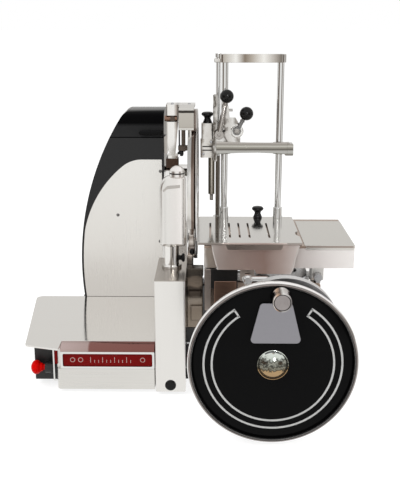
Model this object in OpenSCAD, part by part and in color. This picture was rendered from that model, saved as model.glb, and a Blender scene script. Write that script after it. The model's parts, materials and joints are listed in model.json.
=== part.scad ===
// Counter-top flywheel meat slicer: flywheel, bevel drive, reciprocating carriage, disc blade and end clamp.
// Millimetres, +X to the right seen from the flywheel side, +Y to the back, +Z up, feet on z = 0.

/* [Base] */
// Height of the rubber feet
foot_h = 8; // [6:1:14]
// Radius of a rubber foot
foot_r = 18; // [14:1:24]
// Wall thickness of the base casting
base_wall = 6; // [4:1:10]
// Left end of the base casting
base_left = -250; // [-270:1:-230]
// Right end of the base casting
base_right = 284; // [280:1:320]
// Back of the base casting
base_back = 322; // [320:1:340]
// Front of the left half of the base casting
base_front_left = -182; // [-190:1:-175]
// Front of the right half of the base casting
base_front_right = -137; // [-140:1:-125]
// Top of the right half of the base casting
deck_z = 88; // [80:1:96]
// Top of the left half of the base casting, under the receiving plate
shelf_z = 98; // [94:1:106]
// Thickness of the closing plate under the base
base_plate_t = 3; // [2:0.5:5]
// Bore radius of the four pedestal bolt holes
pedestal_hole_r = 4.25; // [3:0.25:6]
// Pedestal bolt spacing along X
pedestal_dx = 320; // [260:5:380]
// Pedestal bolt spacing along Y
pedestal_dy = 240; // [200:5:300]

/* [Front panel and receiving plate] */
// Thickness of the brushed front panel
panel_t = 8; // [5:1:12]
// Top of the brushed front panel
panel_top = 52; // [44:1:60]
// Thickness of the receiving plate
plate_t = 4; // [3:0.5:6]
// Reach of the receiving plate past the base's left end
plate_overhang = 105; // [80:1:120]
// Thickness of the red label plate
label_t = 3; // [2:0.5:5]

/* [Column and guard] */
// Width of the front column
column_w = 60; // [50:1:70]
// Front face of the column
column_front = -200; // [-210:1:-190]
// Depth of the column
column_d = 165; // [150:1:175]
// Top of the column
column_top = 240; // [225:1:250]
// Wall of the column casting
column_wall = 5; // [4:1:8]
// Radius of the black plug in the column front
plug_r = 11; // [8:1:14]
// Height of the edge guard above the column
guard_h = 194; // [170:1:215]
// Width of the edge guard
guard_w = 46; // [40:1:48]

/* [Drive housing] */
// Front face of the drive housing
housing_front = 122; // [118:1:130]
// Depth of the drive housing
housing_d = 150; // [130:1:160]
// Right side of the drive housing
housing_right = -56; // [-64:1:-54]
// Height of the seam under the lid
lid_seam = 472; // [460:1:480]
// Top of the lid
lid_top = 530; // [515:1:540]
// Wall of the housing and lid
housing_wall = 4; // [3:0.5:6]
// Radius of the housing's long curved side
housing_curve_r = 640; // [600:5:700]
// Rounding of the lid along its front and back edges
lid_round = 38; // [25:1:45]
// Rounding of the lid's top left corner
lid_corner_r = 28; // [18:1:40]

/* [Blade] */
// Radius of the blade
blade_r = 158; // [140:1:160]
// Thickness of the blade at its hub
blade_t = 7; // [5:0.5:9]
// Right face of the blade, beside the meat table
blade_face_x = 17; // [12:1:18]
// Height of the blade axis
blade_z = 363; // [350:1:370]
// Distance of the blade axis from the column's front face
blade_y_from_column = 350; // [345:1:360]
// Width of the ring band round the blade
ring_band = 12; // [9:1:14]

/* [Drive train] */
// Height of the flywheel axis
wheel_z = 157; // [152:1:162]
// Place of the flywheel axis along X
wheel_x = 156; // [150:1:160]
// Radius of the flywheel with its rim
wheel_r = 147; // [130:1:148]
// Depth of the flywheel rim
wheel_d = 34; // [32:1:50]
// Front face of the flywheel rim
wheel_front = -417; // [-425:1:-412]
// Radius of the shafts
shaft_r = 10; // [8:0.5:11]
// Module of the bevel gears
gear_module = 2.5; // [2:0.25:2.75]
// Teeth on each bevel gear, a multiple of four
gear_teeth = 20; // [16:4:20]
// Face width of the bevel gears
gear_face = 10; // [8:1:11]
// Radius of the drive pulley on the cross shaft
drive_pulley_r = 42; // [36:1:46]
// Radius of the pulley on the blade spindle
blade_pulley_r = 28; // [24:1:32]
// Belt width
belt_w = 16; // [12:1:18]
// Belt thickness
belt_t = 4; // [3:0.5:5]
// Throw of the carriage crank, half of the stroke
crank_throw = 85; // [70:1:88]
// Height of the grip above the flywheel axis
grip_throw = 125; // [112:1:126]
// Radius of the turning grip
grip_r = 16; // [13:0.5:18]
// Length of the turning grip
grip_len = 32; // [28:1:60]

/* [Carriage and table] */
// Left end of the carriage
carriage_left = 36; // [34:1:44]
// Length of the carriage along X
carriage_w = 298; // [286:1:310]
// Front of the carriage
carriage_front = -139; // [-139:1:-130]
// Depth of the carriage
carriage_d = 233; // [225:1:240]
// Top of the carriage deck
carriage_top = 294; // [288:1:296]
// Height of the carriage skirt
carriage_h = 46; // [40:1:48]
// Wall of the carriage
carriage_wall = 5; // [4:0.5:7]
// Radius of the carriage rails
rail_r = 8; // [6:0.5:9]
// Left edge of the meat table
table_left = 22; // [22:1:28]
// Width of the meat table
table_w = 208; // [200:1:210]
// Thickness of the meat table
table_t = 4; // [3:0.5:5]
// Travel of the meat table along X
feed_travel = 95; // [60:5:95]
// Width of a slot in the meat table
slot_w = 4; // [3:0.5:5]
// Length of a slot in the meat table
slot_len = 130; // [100:5:150]
// Radius of the feed screw
screw_r = 6; // [5:0.5:7]

/* [End clamp] */
// Radius of the two main posts
post_r = 7.25; // [6:0.25:8]
// Radius of the thin guide post
thin_post_r = 5; // [4:0.25:6]
// Height of the posts above the meat table
post_h = 352; // [300:1:380]
// Place of the left post along X
post_left_x = 78; // [74:1:84]
// Distance between the two main posts
post_gap = 119; // [110:1:124]
// Height of the clamp bar above the meat table
clamp_h = 144; // [140:1:170]
// Depth of the clamp bar along Z
clamp_bar_h = 24; // [20:1:28]
// Radius of the ball knobs
ball_r = 14.5; // [11:0.5:16]

/* [Stop button] */
// Radius of the stop button's head
button_r = 14.5; // [12:0.5:16]
// Press travel of the stop button
button_travel = 4; // [3:0.5:5]

/* [Hidden] */
$fn = 64;
hull_fn = 32;
// Radial clearance of a turning shaft, and gap between pieces that pass each other
run_gap = 0.06;
pass_gap = 0.5;
seat_gap = 0.3;

plate_top = shelf_z + plate_t;
split_x = -62;
column_x1 = 0;
column_x0 = column_x1 - column_w;
column_mid = column_x1 - column_w / 2;
column_back = column_front + column_d;
panel_left = base_left - panel_t;
panel_front = base_front_left - panel_t;
panel_return = 102;
plate_left = base_left - plate_overhang;
plate_front = panel_front + 24;

housing_back = housing_front + housing_d;
housing_left = -249;
housing_curve_x = housing_left + housing_curve_r;
housing_curve_z = 178;
// Centre of the lid's corner fillet, and the direction in which it meets the long curve
lid_corner_z = lid_top - lid_corner_r;
lid_corner_x = housing_curve_x - sqrt(pow(housing_curve_r - lid_corner_r, 2) - pow(lid_corner_z - housing_curve_z, 2));
lid_corner_a = atan2(lid_corner_z - housing_curve_z, lid_corner_x - housing_curve_x);
handle_x = [housing_right - 50, housing_right - 6];
handle_z = lid_seam + 12;
side_panel_t = 2.5;
side_panel_inset = 5;
side_panel_drop = 48;
side_panel_r = 258;
side_panel_curve_z = 209;
// Lid hinges on the back of the housing
hinge_r = 5;
hinge_pin_r = 2.5;
hinge_w = 30;
hinge_leaf_t = 2;
hinge_y = housing_back + hinge_r + 1;
hinge_x = [housing_right - 24, housing_right - 84];
hinge_mid_w = 12;

blade_y = column_front + blade_y_from_column;
blade_edge_x = blade_face_x - blade_t;
ring_r = blade_r + 3;
ring_wall = 9;
guard_plate_x1 = blade_edge_x - 3;
guard_plate_t = 4;
guard_plate_x0 = guard_plate_x1 - guard_plate_t;
guard_hub_r = 44;
guard_bore_r = 34;
guard_y = column_front + 95;
guard_tube_r = 9;
guard_bend_r = 27;
guard_cap_r = 14;
guard_z0 = column_top + 44;
guard_z1 = column_top + guard_h - 2 * guard_cap_r - 5 - guard_bend_r;
guard_tube_x = column_mid - guard_w / 2 + guard_tube_r;
guard_bend_x = guard_tube_x + guard_bend_r;
guard_right = column_mid + guard_w / 2;
// Bevel of the blade's edge, and the cone behind it that leads the slices away
bevel_w = 18;
edge_t = 1.2;
bevel_slope = (blade_t - edge_t) / (bevel_w - edge_t);
lead_gap = 1.6;
lead_lip = 3.5;
lead_w = 24;
sharp_y0 = blade_y - 26;
sharp_y1 = blade_y + 26;
sharp_top = blade_z + ring_r + ring_wall + 12;

// Each bevel pair meets at its own apex on the flywheel axis; pitch cones are 45 degrees
cross_y = 60;
apex = [wheel_x, cross_y, wheel_z];
crank_y = -5;
crank_apex = [wheel_x, crank_y, wheel_z];
pitch_r = gear_module * gear_teeth / 2;
gear_small = (pitch_r - gear_face * sin(45)) / pitch_r;
gear_h = pitch_r * (1 - gear_small);
hub_h = 6;
bevel_r = shaft_r + 5;

cross_x0 = -48;
cross_bearing_x = wheel_x - pitch_r - hub_h - 34;
cross_bearing_w = 16;
belt_case_x0 = housing_right + 2;
belt_case_x1 = guard_plate_x1 - 10;
belt_case_wall = 4;
pulley_x = (belt_case_x0 + belt_case_x1) / 2;
pulley_gap = 9;
belt_dy = blade_y - apex[1];
belt_dz = blade_z - apex[2];
belt_span = sqrt(belt_dy * belt_dy + belt_dz * belt_dz);
belt_angle = atan2(belt_dz, belt_dy);

bridge_z0 = wheel_z + pitch_r + hub_h + pass_gap;
bridge_t = 8;
crank_disc_t = 8;
crank_disc_z = bridge_z0 + bridge_t + pass_gap;
crank_disc_r = crank_throw + 14;
crank_pin_r = 8;
crank_pin_h = 3;
rod_z = crank_disc_z + crank_disc_t + crank_pin_h + pass_gap;
rod_t = 8;
rod_len = 150;
wrist_y = crank_y - crank_throw + rod_len;

rail_z = carriage_top - carriage_h - 20;
rail_l_x = carriage_left + 12;
rail_r_x = 2 * wheel_x - rail_l_x;
bed_wall = 10;
bed_front_t = 16;
bed_top = rail_z - rail_r - 2;
bed_front = base_front_right - 3;
block_w = 2 * rail_r + 8;
block_len = 40;
block_y = [carriage_front + 34, carriage_front + carriage_d - 34];

carriage_right = carriage_left + carriage_w;
carriage_back = carriage_front + carriage_d;
skirt_z = carriage_top - carriage_h;
slide_strip_t = 2;
table_z0 = carriage_top + slide_strip_t;
table_top = table_z0 + table_t;
table_right = table_left + table_w;
table_front = carriage_front;
table_back = carriage_back;
apron_t = 4;
apron_gap = 2;
screw_y = -60;
screw_z = carriage_top - 22;
nut_x = 66;
nut_w = 24;
feed_lever_x = 122;
feed_lever_y = table_front - apron_gap - apron_t - 4;
feed_lever_z = skirt_z - 16;

post_y = table_back - 10;
post_right_x = post_left_x + post_gap;
post_top = table_top + post_h;
thin_post_x = 64;
thin_post_y = table_back + 10;
clamp_z0 = table_top + clamp_h;
clamp_z1 = clamp_z0 + clamp_bar_h;
clamp_y0 = post_y - 14;
clamp_y1 = post_y + 14;
lever_t = 7;
lever_y = clamp_y0 - lever_t - 12;
lever_x = post_left_x - 12;
lever_z = clamp_z1 + 20;
lever_lean = 11.5;
lever_len = 83;
lock_x = post_left_x + 26;
lock_z = clamp_z1 + 28;
lock_lean = 29;
lock_len = 42;
pivot_r = 4;
knob_x = post_left_x - 37;
bar_left = knob_x + 14;
bar_right = post_right_x + 22;
bar_waist = 3.5;
knob_z = clamp_z1 + 42;

wheel_face = wheel_front + 4;
rim_w = 8;
disc_r = wheel_r - rim_w;
case_behind = 59;
case_front = wheel_front + case_behind;
case_flange_t = 20;
case_r = 60;
case_flange_r = 99;
case_flange_at = [wheel_x + 23, wheel_z + 38];
bearing_r = shaft_r + 8;
bearing_w = 18;
case_leg_w = 84;
case_leg_d = 46;
crank_plate_t = 5;
crank_plate_y = wheel_face - 10;
crank_side = 3;
crank_corner = 7;
grip_side = 10;
grip_x = wheel_x + grip_side;
grip_z = wheel_z + grip_throw;
grip_y1 = crank_plate_y - 1;
grip_y0 = grip_y1 - grip_len;
grip_pin_r = 7;

stop_y = base_front_left + 12;
switch_d = 51;
switch_w = 95;
switch_y = stop_y + 16;
stop_z = 47;
stop_bracket_w = 14;
stop_collar_w = 12;
stop_collar_x0 = panel_left - stop_bracket_w - stop_collar_w;
button_gap = button_travel + 1.5;

// The origin is the bottom centre of the whole slicer's box
origin_x = (plate_left + carriage_right) / 2;
origin_y = (grip_y0 + max(base_back, blade_y + ring_r + ring_wall)) / 2;

// Shared shapes

module rod_x(r, x0, x1, y, z) translate([x0, y, z]) rotate([0, 90, 0]) cylinder(r = r, h = x1 - x0);
module rod_y(r, y0, y1, x, z) translate([x, y0, z]) rotate([-90, 0, 0]) cylinder(r = r, h = y1 - y0);
module rod_z(r, z0, z1, x, y) translate([x, y, z0]) cylinder(r = r, h = z1 - z0);
module block(x0, x1, y0, y1, z0, z1) translate([x0, y0, z0]) cube([x1 - x0, y1 - y0, z1 - z0]);

// Rectangle with round corners
module round_rect(w, h, r) {
    translate([r, 0]) square([w - 2 * r, h]);
    translate([0, r]) square([w, h - 2 * r]);
    for (x = [r, w - r], y = [r, h - r]) translate([x, y]) circle(r);
}

// Plate with round corners in plan, standing on z0
module slab_z(x0, x1, y0, y1, z0, z1, r)
    translate([x0, y0, z0]) linear_extrude(z1 - z0) round_rect(x1 - x0, y1 - y0, r);

// Plate with round corners seen from the front
module slab_y(x0, x1, y0, y1, z0, z1, r)
    translate([x0, y1, z0]) rotate([90, 0, 0]) linear_extrude(y1 - y0) round_rect(x1 - x0, z1 - z0, r);

// Plate with round corners seen from the side
module slab_x(x0, x1, y0, y1, z0, z1, r)
    translate([x0, y0, z0]) rotate([90, 0, 90]) linear_extrude(x1 - x0) round_rect(y1 - y0, z1 - z0, r);

// Outline in x and z pushed along y
module front_form(y0, y1) translate([0, y1, 0]) rotate([90, 0, 0]) linear_extrude(y1 - y0) children();

// Outline in y and z pushed along x
module side_form(x0, x1) translate([x0, 0, 0]) rotate([90, 0, 90]) linear_extrude(x1 - x0) children();

// Points on an arc
function arc(cx, cy, r, a0, a1, n) = [for (i = [0:n]) [cx + r * cos(a0 + (a1 - a0) * i / n),
                                                     cy + r * sin(a0 + (a1 - a0) * i / n)]];

// Bevel gear with its apex at the origin and its teeth below, opening along -Z
module bevel_gear(turn) {
    step = 360 / gear_teeth;
    translate([0, 0, -pitch_r]) rotate(turn) linear_extrude(gear_h, scale = gear_small)
        union() {
            circle(pitch_r - 1.15 * gear_module, $fn = 2 * gear_teeth);
            for (i = [0:gear_teeth - 1]) rotate(i * step)
                polygon([[pitch_r - 2.2 * gear_module, -0.85 * gear_module],
                         [pitch_r - 0.2 * gear_module, -0.62 * gear_module],
                         [pitch_r + 0.75 * gear_module, -0.26 * gear_module],
                         [pitch_r + 0.75 * gear_module, 0.26 * gear_module],
                         [pitch_r - 0.2 * gear_module, 0.62 * gear_module],
                         [pitch_r - 2.2 * gear_module, 0.85 * gear_module]]);
        }
    translate([0, 0, -pitch_r - hub_h]) cylinder(r = bevel_r, h = hub_h);
    translate([0, 0, -pitch_r - 4]) cylinder(r = pitch_r - 1.5 * gear_module, h = 4);
}

// Loop round the two belt pulleys, grown by a margin, in the pulley plane
module belt_outline(grow) {
    r0 = drive_pulley_r + grow;
    r1 = blade_pulley_r + grow;
    // Direction of the points where the two straight runs leave the pulleys
    t = acos((r0 - r1) / belt_span);
    polygon(concat(arc(0, 0, r0, t, 360 - t, 36), arc(belt_span, 0, r1, -t, t, 28)));
}

// Push a shape drawn in the pulley plane along x, at the cross shaft and turned to the blade
module in_belt_plane(x0, x1) translate([x0, apex[1], apex[2]]) rotate([90, 0, 90])
    rotate(belt_angle) linear_extrude(x1 - x0) children();

// Tapered mushroom knob of radius r and height h, base on z = 0, with a waisted foot and a shallow crown
module mushroom(r, h) {
    lip_r = r * 0.28;
    lip_z = h * 0.78;
    crown_r = r - lip_r / 2;
    crown_z = lip_z + lip_r * sin(60);
    rotate_extrude() polygon(concat(
        [[0, 0], [r * 0.75, 0], [r * 0.75, h * 0.08], [r * 0.5, h * 0.4], [r * 0.62, h * 0.55]],
        arc(r - lip_r, lip_z, lip_r, -60, 60, 6),
        [for (a = [15:15:90]) [crown_r * cos(a), crown_z + (h - crown_z) * sin(a)]]));
}

// Base

module base_outline(inset) {
    translate([base_left + inset, base_front_left + inset])
        square([split_x - base_left - inset, base_back - base_front_left - 2 * inset]);
    translate([split_x - inset, base_front_right + inset])
        square([base_right - split_x, base_back - base_front_right - 2 * inset]);
}

module base_housing() color("dimgray") difference() {
    union() {
        intersection() {
            translate([0, 0, foot_h]) linear_extrude(shelf_z - foot_h) base_outline(0);
            block(base_left, split_x, base_front_left, base_back, foot_h, shelf_z);
        }
        translate([0, 0, foot_h]) linear_extrude(deck_z - foot_h) base_outline(0);
    }
    translate([0, 0, foot_h - 1]) linear_extrude(deck_z - base_wall - foot_h + 1) base_outline(base_wall);
}

module base_plate() color("gray") difference() {
    translate([0, 0, foot_h]) linear_extrude(base_plate_t) base_outline(base_wall + seat_gap);
    for (x = [-1, 1], y = [-1, 1])
        rod_z(pedestal_hole_r, foot_h - 1, foot_h + base_plate_t + 1, x * pedestal_dx / 2, 60 + y * pedestal_dy / 2);
}

module foot(x, y) translate([x, y, 0]) rotate_extrude() polygon([[0, 0], [foot_r - 1.5, 0], [foot_r, 1.5],
    [foot_r - 2.5, foot_h], [0, foot_h]]);

module rubber_feet() color("black") {
    foot(base_left + 40, base_front_left + 105);
    foot(base_left + 40, base_back - 45);
    foot(base_right - 45, base_back - 45);
    foot(wheel_x, case_front + case_flange_t + case_leg_d / 2);
}

module front_panel() color("silver") {
    translate([0, 0, foot_h]) linear_extrude(panel_top - foot_h) difference() {
        union() {
            translate([panel_left + panel_t, panel_front]) square([split_x - panel_left - panel_t, panel_t]);
            translate([panel_left, panel_front + panel_t]) square([panel_t, panel_return]);
            translate([panel_left + panel_t, panel_front + panel_t]) circle(panel_t);
        }
        translate([base_left, base_front_left]) square([split_x - base_left + 1, panel_return + 1]);
    }
    block(panel_left, base_left, base_front_left, base_front_left + panel_return, panel_top, shelf_z);
}

module label_plate() color("darkred")
    slab_y(base_left + 5, split_x - 5, panel_front + 3, panel_front + 3 + label_t, panel_top + 5, deck_z - 5, 3);

module label_frame() color("silver") difference() {
    slab_y(base_left, split_x, panel_front, base_front_left, panel_top, deck_z, 2);
    slab_y(base_left + 5 - seat_gap, split_x - 5 + seat_gap, panel_front - 1, panel_front + 3 + label_t,
        panel_top + 5 - seat_gap, deck_z - 5 + seat_gap, 3);
}

module front_trim() color("silver") side_form(base_left, split_x)
    polygon([[base_front_left, deck_z], [panel_front, deck_z], [panel_front, shelf_z - 4], [panel_front + 5, shelf_z + 1],
             [plate_front - 2, plate_top], [plate_front, plate_top], [plate_front, shelf_z],
             [base_front_left, shelf_z]]);

module receiving_plate() color("lightgray") translate([0, 0, shelf_z]) linear_extrude(plate_t) polygon(concat(
    [[split_x, plate_front], [base_left, plate_front], [base_left, panel_front - 20]],
    arc(plate_left + 44, panel_front + 8, 9, 250, 185, 5),
    arc(plate_left + 16, housing_front - 16, 16, 175, 90, 8),
    [[split_x, housing_front]]));

module slide_column() color("lightgray") difference() {
    union() {
        slab_z(column_x0, column_x1, column_front, column_back, deck_z, column_top, 3);
        slab_z(column_x0, column_x1, column_front, base_front_right - seat_gap, foot_h, deck_z + 5, 3);
    }
    block(column_x0 + column_wall, column_x1 - column_wall, column_front + column_wall, column_back - column_wall,
        deck_z - 1, column_top - column_wall);
    block(column_x0 + column_wall, column_x1 - column_wall, column_front + column_wall,
        base_front_right - column_wall, foot_h - 1, deck_z + 6);
    rod_y(plug_r * 0.6, column_front - 1, column_front + column_wall + 1, column_mid, 22);
}

module column_plug() color("black") translate([column_mid, column_front, 22]) rotate([90, 0, 0]) union() {
    rotate_extrude() polygon([[0, 0], [plug_r, 0], [plug_r, 1.5], [plug_r * 0.8, 3.5], [0, 4]]);
    translate([0, 0, -column_wall]) cylinder(r = plug_r * 0.6, h = column_wall);
}

// Bed, rails and gear case

module bed_wall_at(x) difference() {
    block(x - bed_wall / 2, x + bed_wall / 2, bed_front + bed_front_t, base_back - 2, deck_z, bed_top);
    for (y = [cross_y - 100, cross_y, cross_y + 100, cross_y + 200])
        slab_x(x - bed_wall, x + bed_wall, y - 36, y + 36, deck_z + 20, bed_top - 22, 14);
}

module bed_walls() color("silver") for (x = [rail_l_x, rail_r_x]) bed_wall_at(x);

module bed_front_plate() color("silver") difference() {
    slab_y(rail_l_x - bed_wall / 2, rail_r_x + bed_wall / 2, bed_front, bed_front + bed_front_t, deck_z, bed_top, 6);
    rod_y(bearing_r, bed_front - 1, bed_front + bed_front_t + 1, wheel_x, wheel_z);
}

module rails() color("gainsboro") for (x = [rail_l_x, rail_r_x]) {
    rod_y(rail_r, bed_front, base_back - 2, x, rail_z);
    block(x - rail_r * 0.55, x + rail_r * 0.55, bed_front, base_back - 2, bed_top, rail_z - rail_r * 0.6);
}

module gear_case() color("darkgray") difference() {
    union() {
        rod_y(case_flange_r, case_front, case_front + case_flange_t, case_flange_at[0], case_flange_at[1]);
        rod_y(case_r, case_front, bed_front, wheel_x, wheel_z);
        slab_z(wheel_x - case_leg_w / 2, wheel_x + case_leg_w / 2, case_front, case_front + case_flange_t + case_leg_d,
            foot_h, wheel_z, 6);
    }
    rod_y(shaft_r + 2, case_front - 1, bed_front + 1, wheel_x, wheel_z);
    rod_y(bearing_r, case_front - 1, case_front + bearing_w, wheel_x, wheel_z);
}

module bearing_bush(y0) difference() {
    rod_y(bearing_r, y0, y0 + bearing_w, wheel_x, wheel_z);
    rod_y(shaft_r + run_gap, y0 - 1, y0 + bearing_w + 1, wheel_x, wheel_z);
}

module shaft_bearings() color("darkgoldenrod") {
    bearing_bush(case_front);
    bearing_bush(bed_front);
}

// Bridge with the bearing of the upright crank shaft, and the pedestal bearing of the cross shaft
module bearing_bridge() color("dimgray") {
    difference() {
        block(rail_l_x + bed_wall / 2, rail_r_x - bed_wall / 2, crank_y - 20, crank_y + 20, bridge_z0, bridge_z0 + bridge_t);
        rod_z(shaft_r + run_gap, bridge_z0 - 1, bridge_z0 + bridge_t + 1, wheel_x, crank_y);
    }
    difference() {
        slab_x(cross_bearing_x, cross_bearing_x + cross_bearing_w, cross_y - 20, cross_y + 20, deck_z, wheel_z + 20, 8);
        rod_x(shaft_r + run_gap, cross_bearing_x - 1, cross_bearing_x + cross_bearing_w + 1, cross_y, wheel_z);
    }
}

// Belt drive to the blade

module belt_case() color("dimgray") difference() {
    union() {
        in_belt_plane(belt_case_x0, belt_case_x1) belt_outline(belt_t + pulley_gap + belt_case_wall);
        block(belt_case_x0, belt_case_x1, apex[1] - 34, apex[1] + 34, deck_z, apex[2]);
    }
    in_belt_plane(belt_case_x0 - 1, belt_case_x1 - belt_case_wall) belt_outline(belt_t + pulley_gap);
    rod_x(shaft_r + run_gap, belt_case_x0 - 1, belt_case_x1 + 1, apex[1], apex[2]);
    rod_x(bearing_r, belt_case_x0 - 1, belt_case_x1 + 1, blade_y, blade_z);
}

module belt_case_cover() color("dimgray") difference() {
    union() {
        in_belt_plane(belt_case_x0 - 2, belt_case_x0) belt_outline(belt_t + pulley_gap + belt_case_wall);
        rod_x(bearing_r, belt_case_x1 - belt_case_wall, belt_case_x1 + 4, blade_y, blade_z);
    }
    rod_x(shaft_r + run_gap, belt_case_x0 - 3, belt_case_x1 + 5, blade_y, blade_z);
}

module drive_belt() color("black") in_belt_plane(pulley_x - belt_w / 2, pulley_x + belt_w / 2) difference() {
    belt_outline(belt_t + seat_gap);
    belt_outline(seat_gap);
}

// Drive housing and lid

// Outline of the housing with its lid: one long curve at the left that a fillet joins to the flat top
module housing_outline(inset) {
    r = housing_curve_r - inset;
    z0 = shelf_z + inset;
    corner_step = (lid_corner_a - 90) / 6;
    polygon(concat(
        [[housing_right - inset, z0]],
        arc(housing_curve_x, housing_curve_z, r, 180 - asin((z0 - housing_curve_z) / r), lid_corner_a, 24),
        arc(lid_corner_x, lid_corner_z, lid_corner_r - inset, lid_corner_a - corner_step, 90, 5),
        [[housing_right - inset, lid_top - inset]]));
}

// Side profile of the housing with its lid, round along the top's front and back edges
module housing_profile(inset) polygon(concat(
    [[housing_back - inset, shelf_z], [housing_front + inset, shelf_z]],
    arc(housing_front + lid_round, lid_top - lid_round, lid_round - inset, 180, 90, 8),
    arc(housing_back - lid_round, lid_top - lid_round, lid_round - inset, 90, 0, 8)));

module housing_form(inset) intersection() {
    front_form(housing_front + inset, housing_back - inset) housing_outline(inset);
    side_form(housing_left - 50, housing_right + 1) housing_profile(inset);
}

module below_seam(z) block(housing_left - 60, housing_right + 60, housing_front - 60, housing_back + 60, 0, z);

// Lower half of a lid hinge: a leaf with two knuckles and the pin
module hinge_lower(x) {
    block(x - hinge_w / 2, x + hinge_w / 2, housing_back, housing_back + hinge_leaf_t,
        lid_seam - 26, lid_seam - hinge_r - pass_gap);
    for (x0 = [x - hinge_w / 2, x + hinge_mid_w / 2]) {
        rod_x(hinge_r, x0, x0 + (hinge_w - hinge_mid_w) / 2, hinge_y, lid_seam);
        block(x0, x0 + (hinge_w - hinge_mid_w) / 2, housing_back, hinge_y, lid_seam - 9, lid_seam - 1);
    }
    rod_x(hinge_pin_r, x - hinge_w / 2, x + hinge_w / 2, hinge_y, lid_seam);
}

// Upper half of a lid hinge: a leaf with the middle knuckle
module hinge_upper(x) {
    x0 = x - hinge_mid_w / 2 + seat_gap;
    x1 = x + hinge_mid_w / 2 - seat_gap;
    difference() {
        union() {
            block(x - hinge_w / 2, x + hinge_w / 2, housing_back, housing_back + hinge_leaf_t,
                lid_seam + hinge_r + 1, lid_seam + 18);
            rod_x(hinge_r, x0, x1, hinge_y, lid_seam);
            block(x0, x1, housing_back, hinge_y, lid_seam + 1, lid_seam + 9);
        }
        rod_x(hinge_pin_r + run_gap, x0 - 1, x1 + 1, hinge_y, lid_seam);
    }
}

module drive_housing() color("#181818") {
    difference() {
        intersection() {
            housing_form(0);
            below_seam(lid_seam);
        }
        difference() {
            housing_form(housing_wall);
            below_seam(shelf_z + housing_wall);
        }
        rod_x(shaft_r + 4, housing_right - housing_wall - 1, housing_right + 1, blade_y, blade_z);
    }
    for (x = hinge_x) hinge_lower(x);
}

module housing_lid() color("#101010") {
    difference() {
        housing_form(0);
        below_seam(lid_seam + seat_gap);
        difference() {
            housing_form(housing_wall);
            below_seam(lid_seam - 1);
        }
    }
    for (x = hinge_x) hinge_upper(x);
}

module lid_handle() color("black") {
    for (x = handle_x) translate([x, housing_front - 6, handle_z]) sphere(5);
    rod_x(5, handle_x[0], handle_x[1], housing_front - 6, handle_z);
    for (x = [handle_x[0] + 6, handle_x[1] - 6]) rod_y(3, housing_front - 6, housing_front, x, handle_z);
}

module side_panel() color("gainsboro") front_form(housing_front - side_panel_t, housing_front) intersection() {
    housing_outline(side_panel_inset);
    translate([housing_left, plate_top])
        square([housing_right - housing_left, lid_seam - side_panel_drop - plate_top]);
    union() {
        translate([housing_left + side_panel_inset + side_panel_r, side_panel_curve_z]) circle(side_panel_r, $fn = 128);
        translate([housing_left, plate_top]) square([housing_right - housing_left, side_panel_curve_z - plate_top]);
    }
}

// Blade, guard ring and sharpener

module blade() color("gainsboro") translate([blade_edge_x, blade_y, blade_z]) rotate([0, 90, 0]) difference() {
    rotate_extrude($fn = 128) polygon([[0, 0], [blade_r - bevel_w, 0], [blade_r - edge_t, blade_t - edge_t], [blade_r, blade_t],
        [blade_r - 26, blade_t - 1.6], [60, blade_t - 1.6], [52, blade_t], [0, blade_t]]);
    translate([0, 0, -1]) cylinder(r = shaft_r, h = blade_t + 2);
}

module blade_spindle() color("silver") {
    rod_x(shaft_r, belt_case_x0 - 40, blade_face_x, blade_y, blade_z);
    difference() {
        rod_x(blade_pulley_r, pulley_x - belt_w / 2 - 1, pulley_x + belt_w / 2 + 1, blade_y, blade_z);
        rod_x(shaft_r, pulley_x - belt_w, pulley_x + belt_w, blade_y, blade_z);
    }
    difference() {
        rod_x(30, blade_edge_x - 6, blade_edge_x, blade_y, blade_z);
        rod_x(shaft_r, blade_edge_x - 7, blade_edge_x + 1, blade_y, blade_z);
    }
    translate([blade_face_x, blade_y, blade_z]) rotate([0, 90, 0]) cylinder(r1 = 22, r2 = 16, h = 3);
}

module blade_guard() color("silver") translate([0, blade_y, blade_z]) rotate([0, 90, 0]) {
    lead_x = blade_edge_x + (bevel_w - lead_lip) * bevel_slope - lead_gap;
    // Hub, web and the cone behind the blade's edge
    rotate_extrude($fn = 128) polygon([[guard_bore_r, belt_case_x1], [guard_hub_r, belt_case_x1],
        [guard_hub_r, guard_plate_x0], [blade_r - lead_w, guard_plate_x0], [blade_r - lead_w, guard_plate_x0 - 5],
        [blade_r - edge_t, lead_x - 0.7], [blade_r - lead_lip, lead_x], [blade_r - bevel_w, blade_edge_x - lead_gap],
        [blade_r - lead_w, guard_plate_x1], [guard_bore_r, guard_plate_x1]]);
    // Flange and band round the top and back of the blade, open on the cutting side
    difference() {
        union() {
            translate([0, 0, guard_plate_x0]) cylinder(r = ring_r + ring_wall, h = guard_plate_t, $fn = 128);
            translate([0, 0, guard_plate_x1 - 1]) cylinder(r = ring_r + ring_wall, h = ring_band + 1, $fn = 128);
        }
        translate([0, 0, guard_plate_x1]) cylinder(r = ring_r, h = ring_band + 1, $fn = 128);
        translate([0, 0, guard_plate_x0 - 1]) cylinder(r = blade_r - lead_w - 1, h = ring_band, $fn = 128);
        rotate(-145) translate([0, 0, guard_plate_x0 - 1]) cube(ring_r + 2 * ring_band);
    }
}

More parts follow.
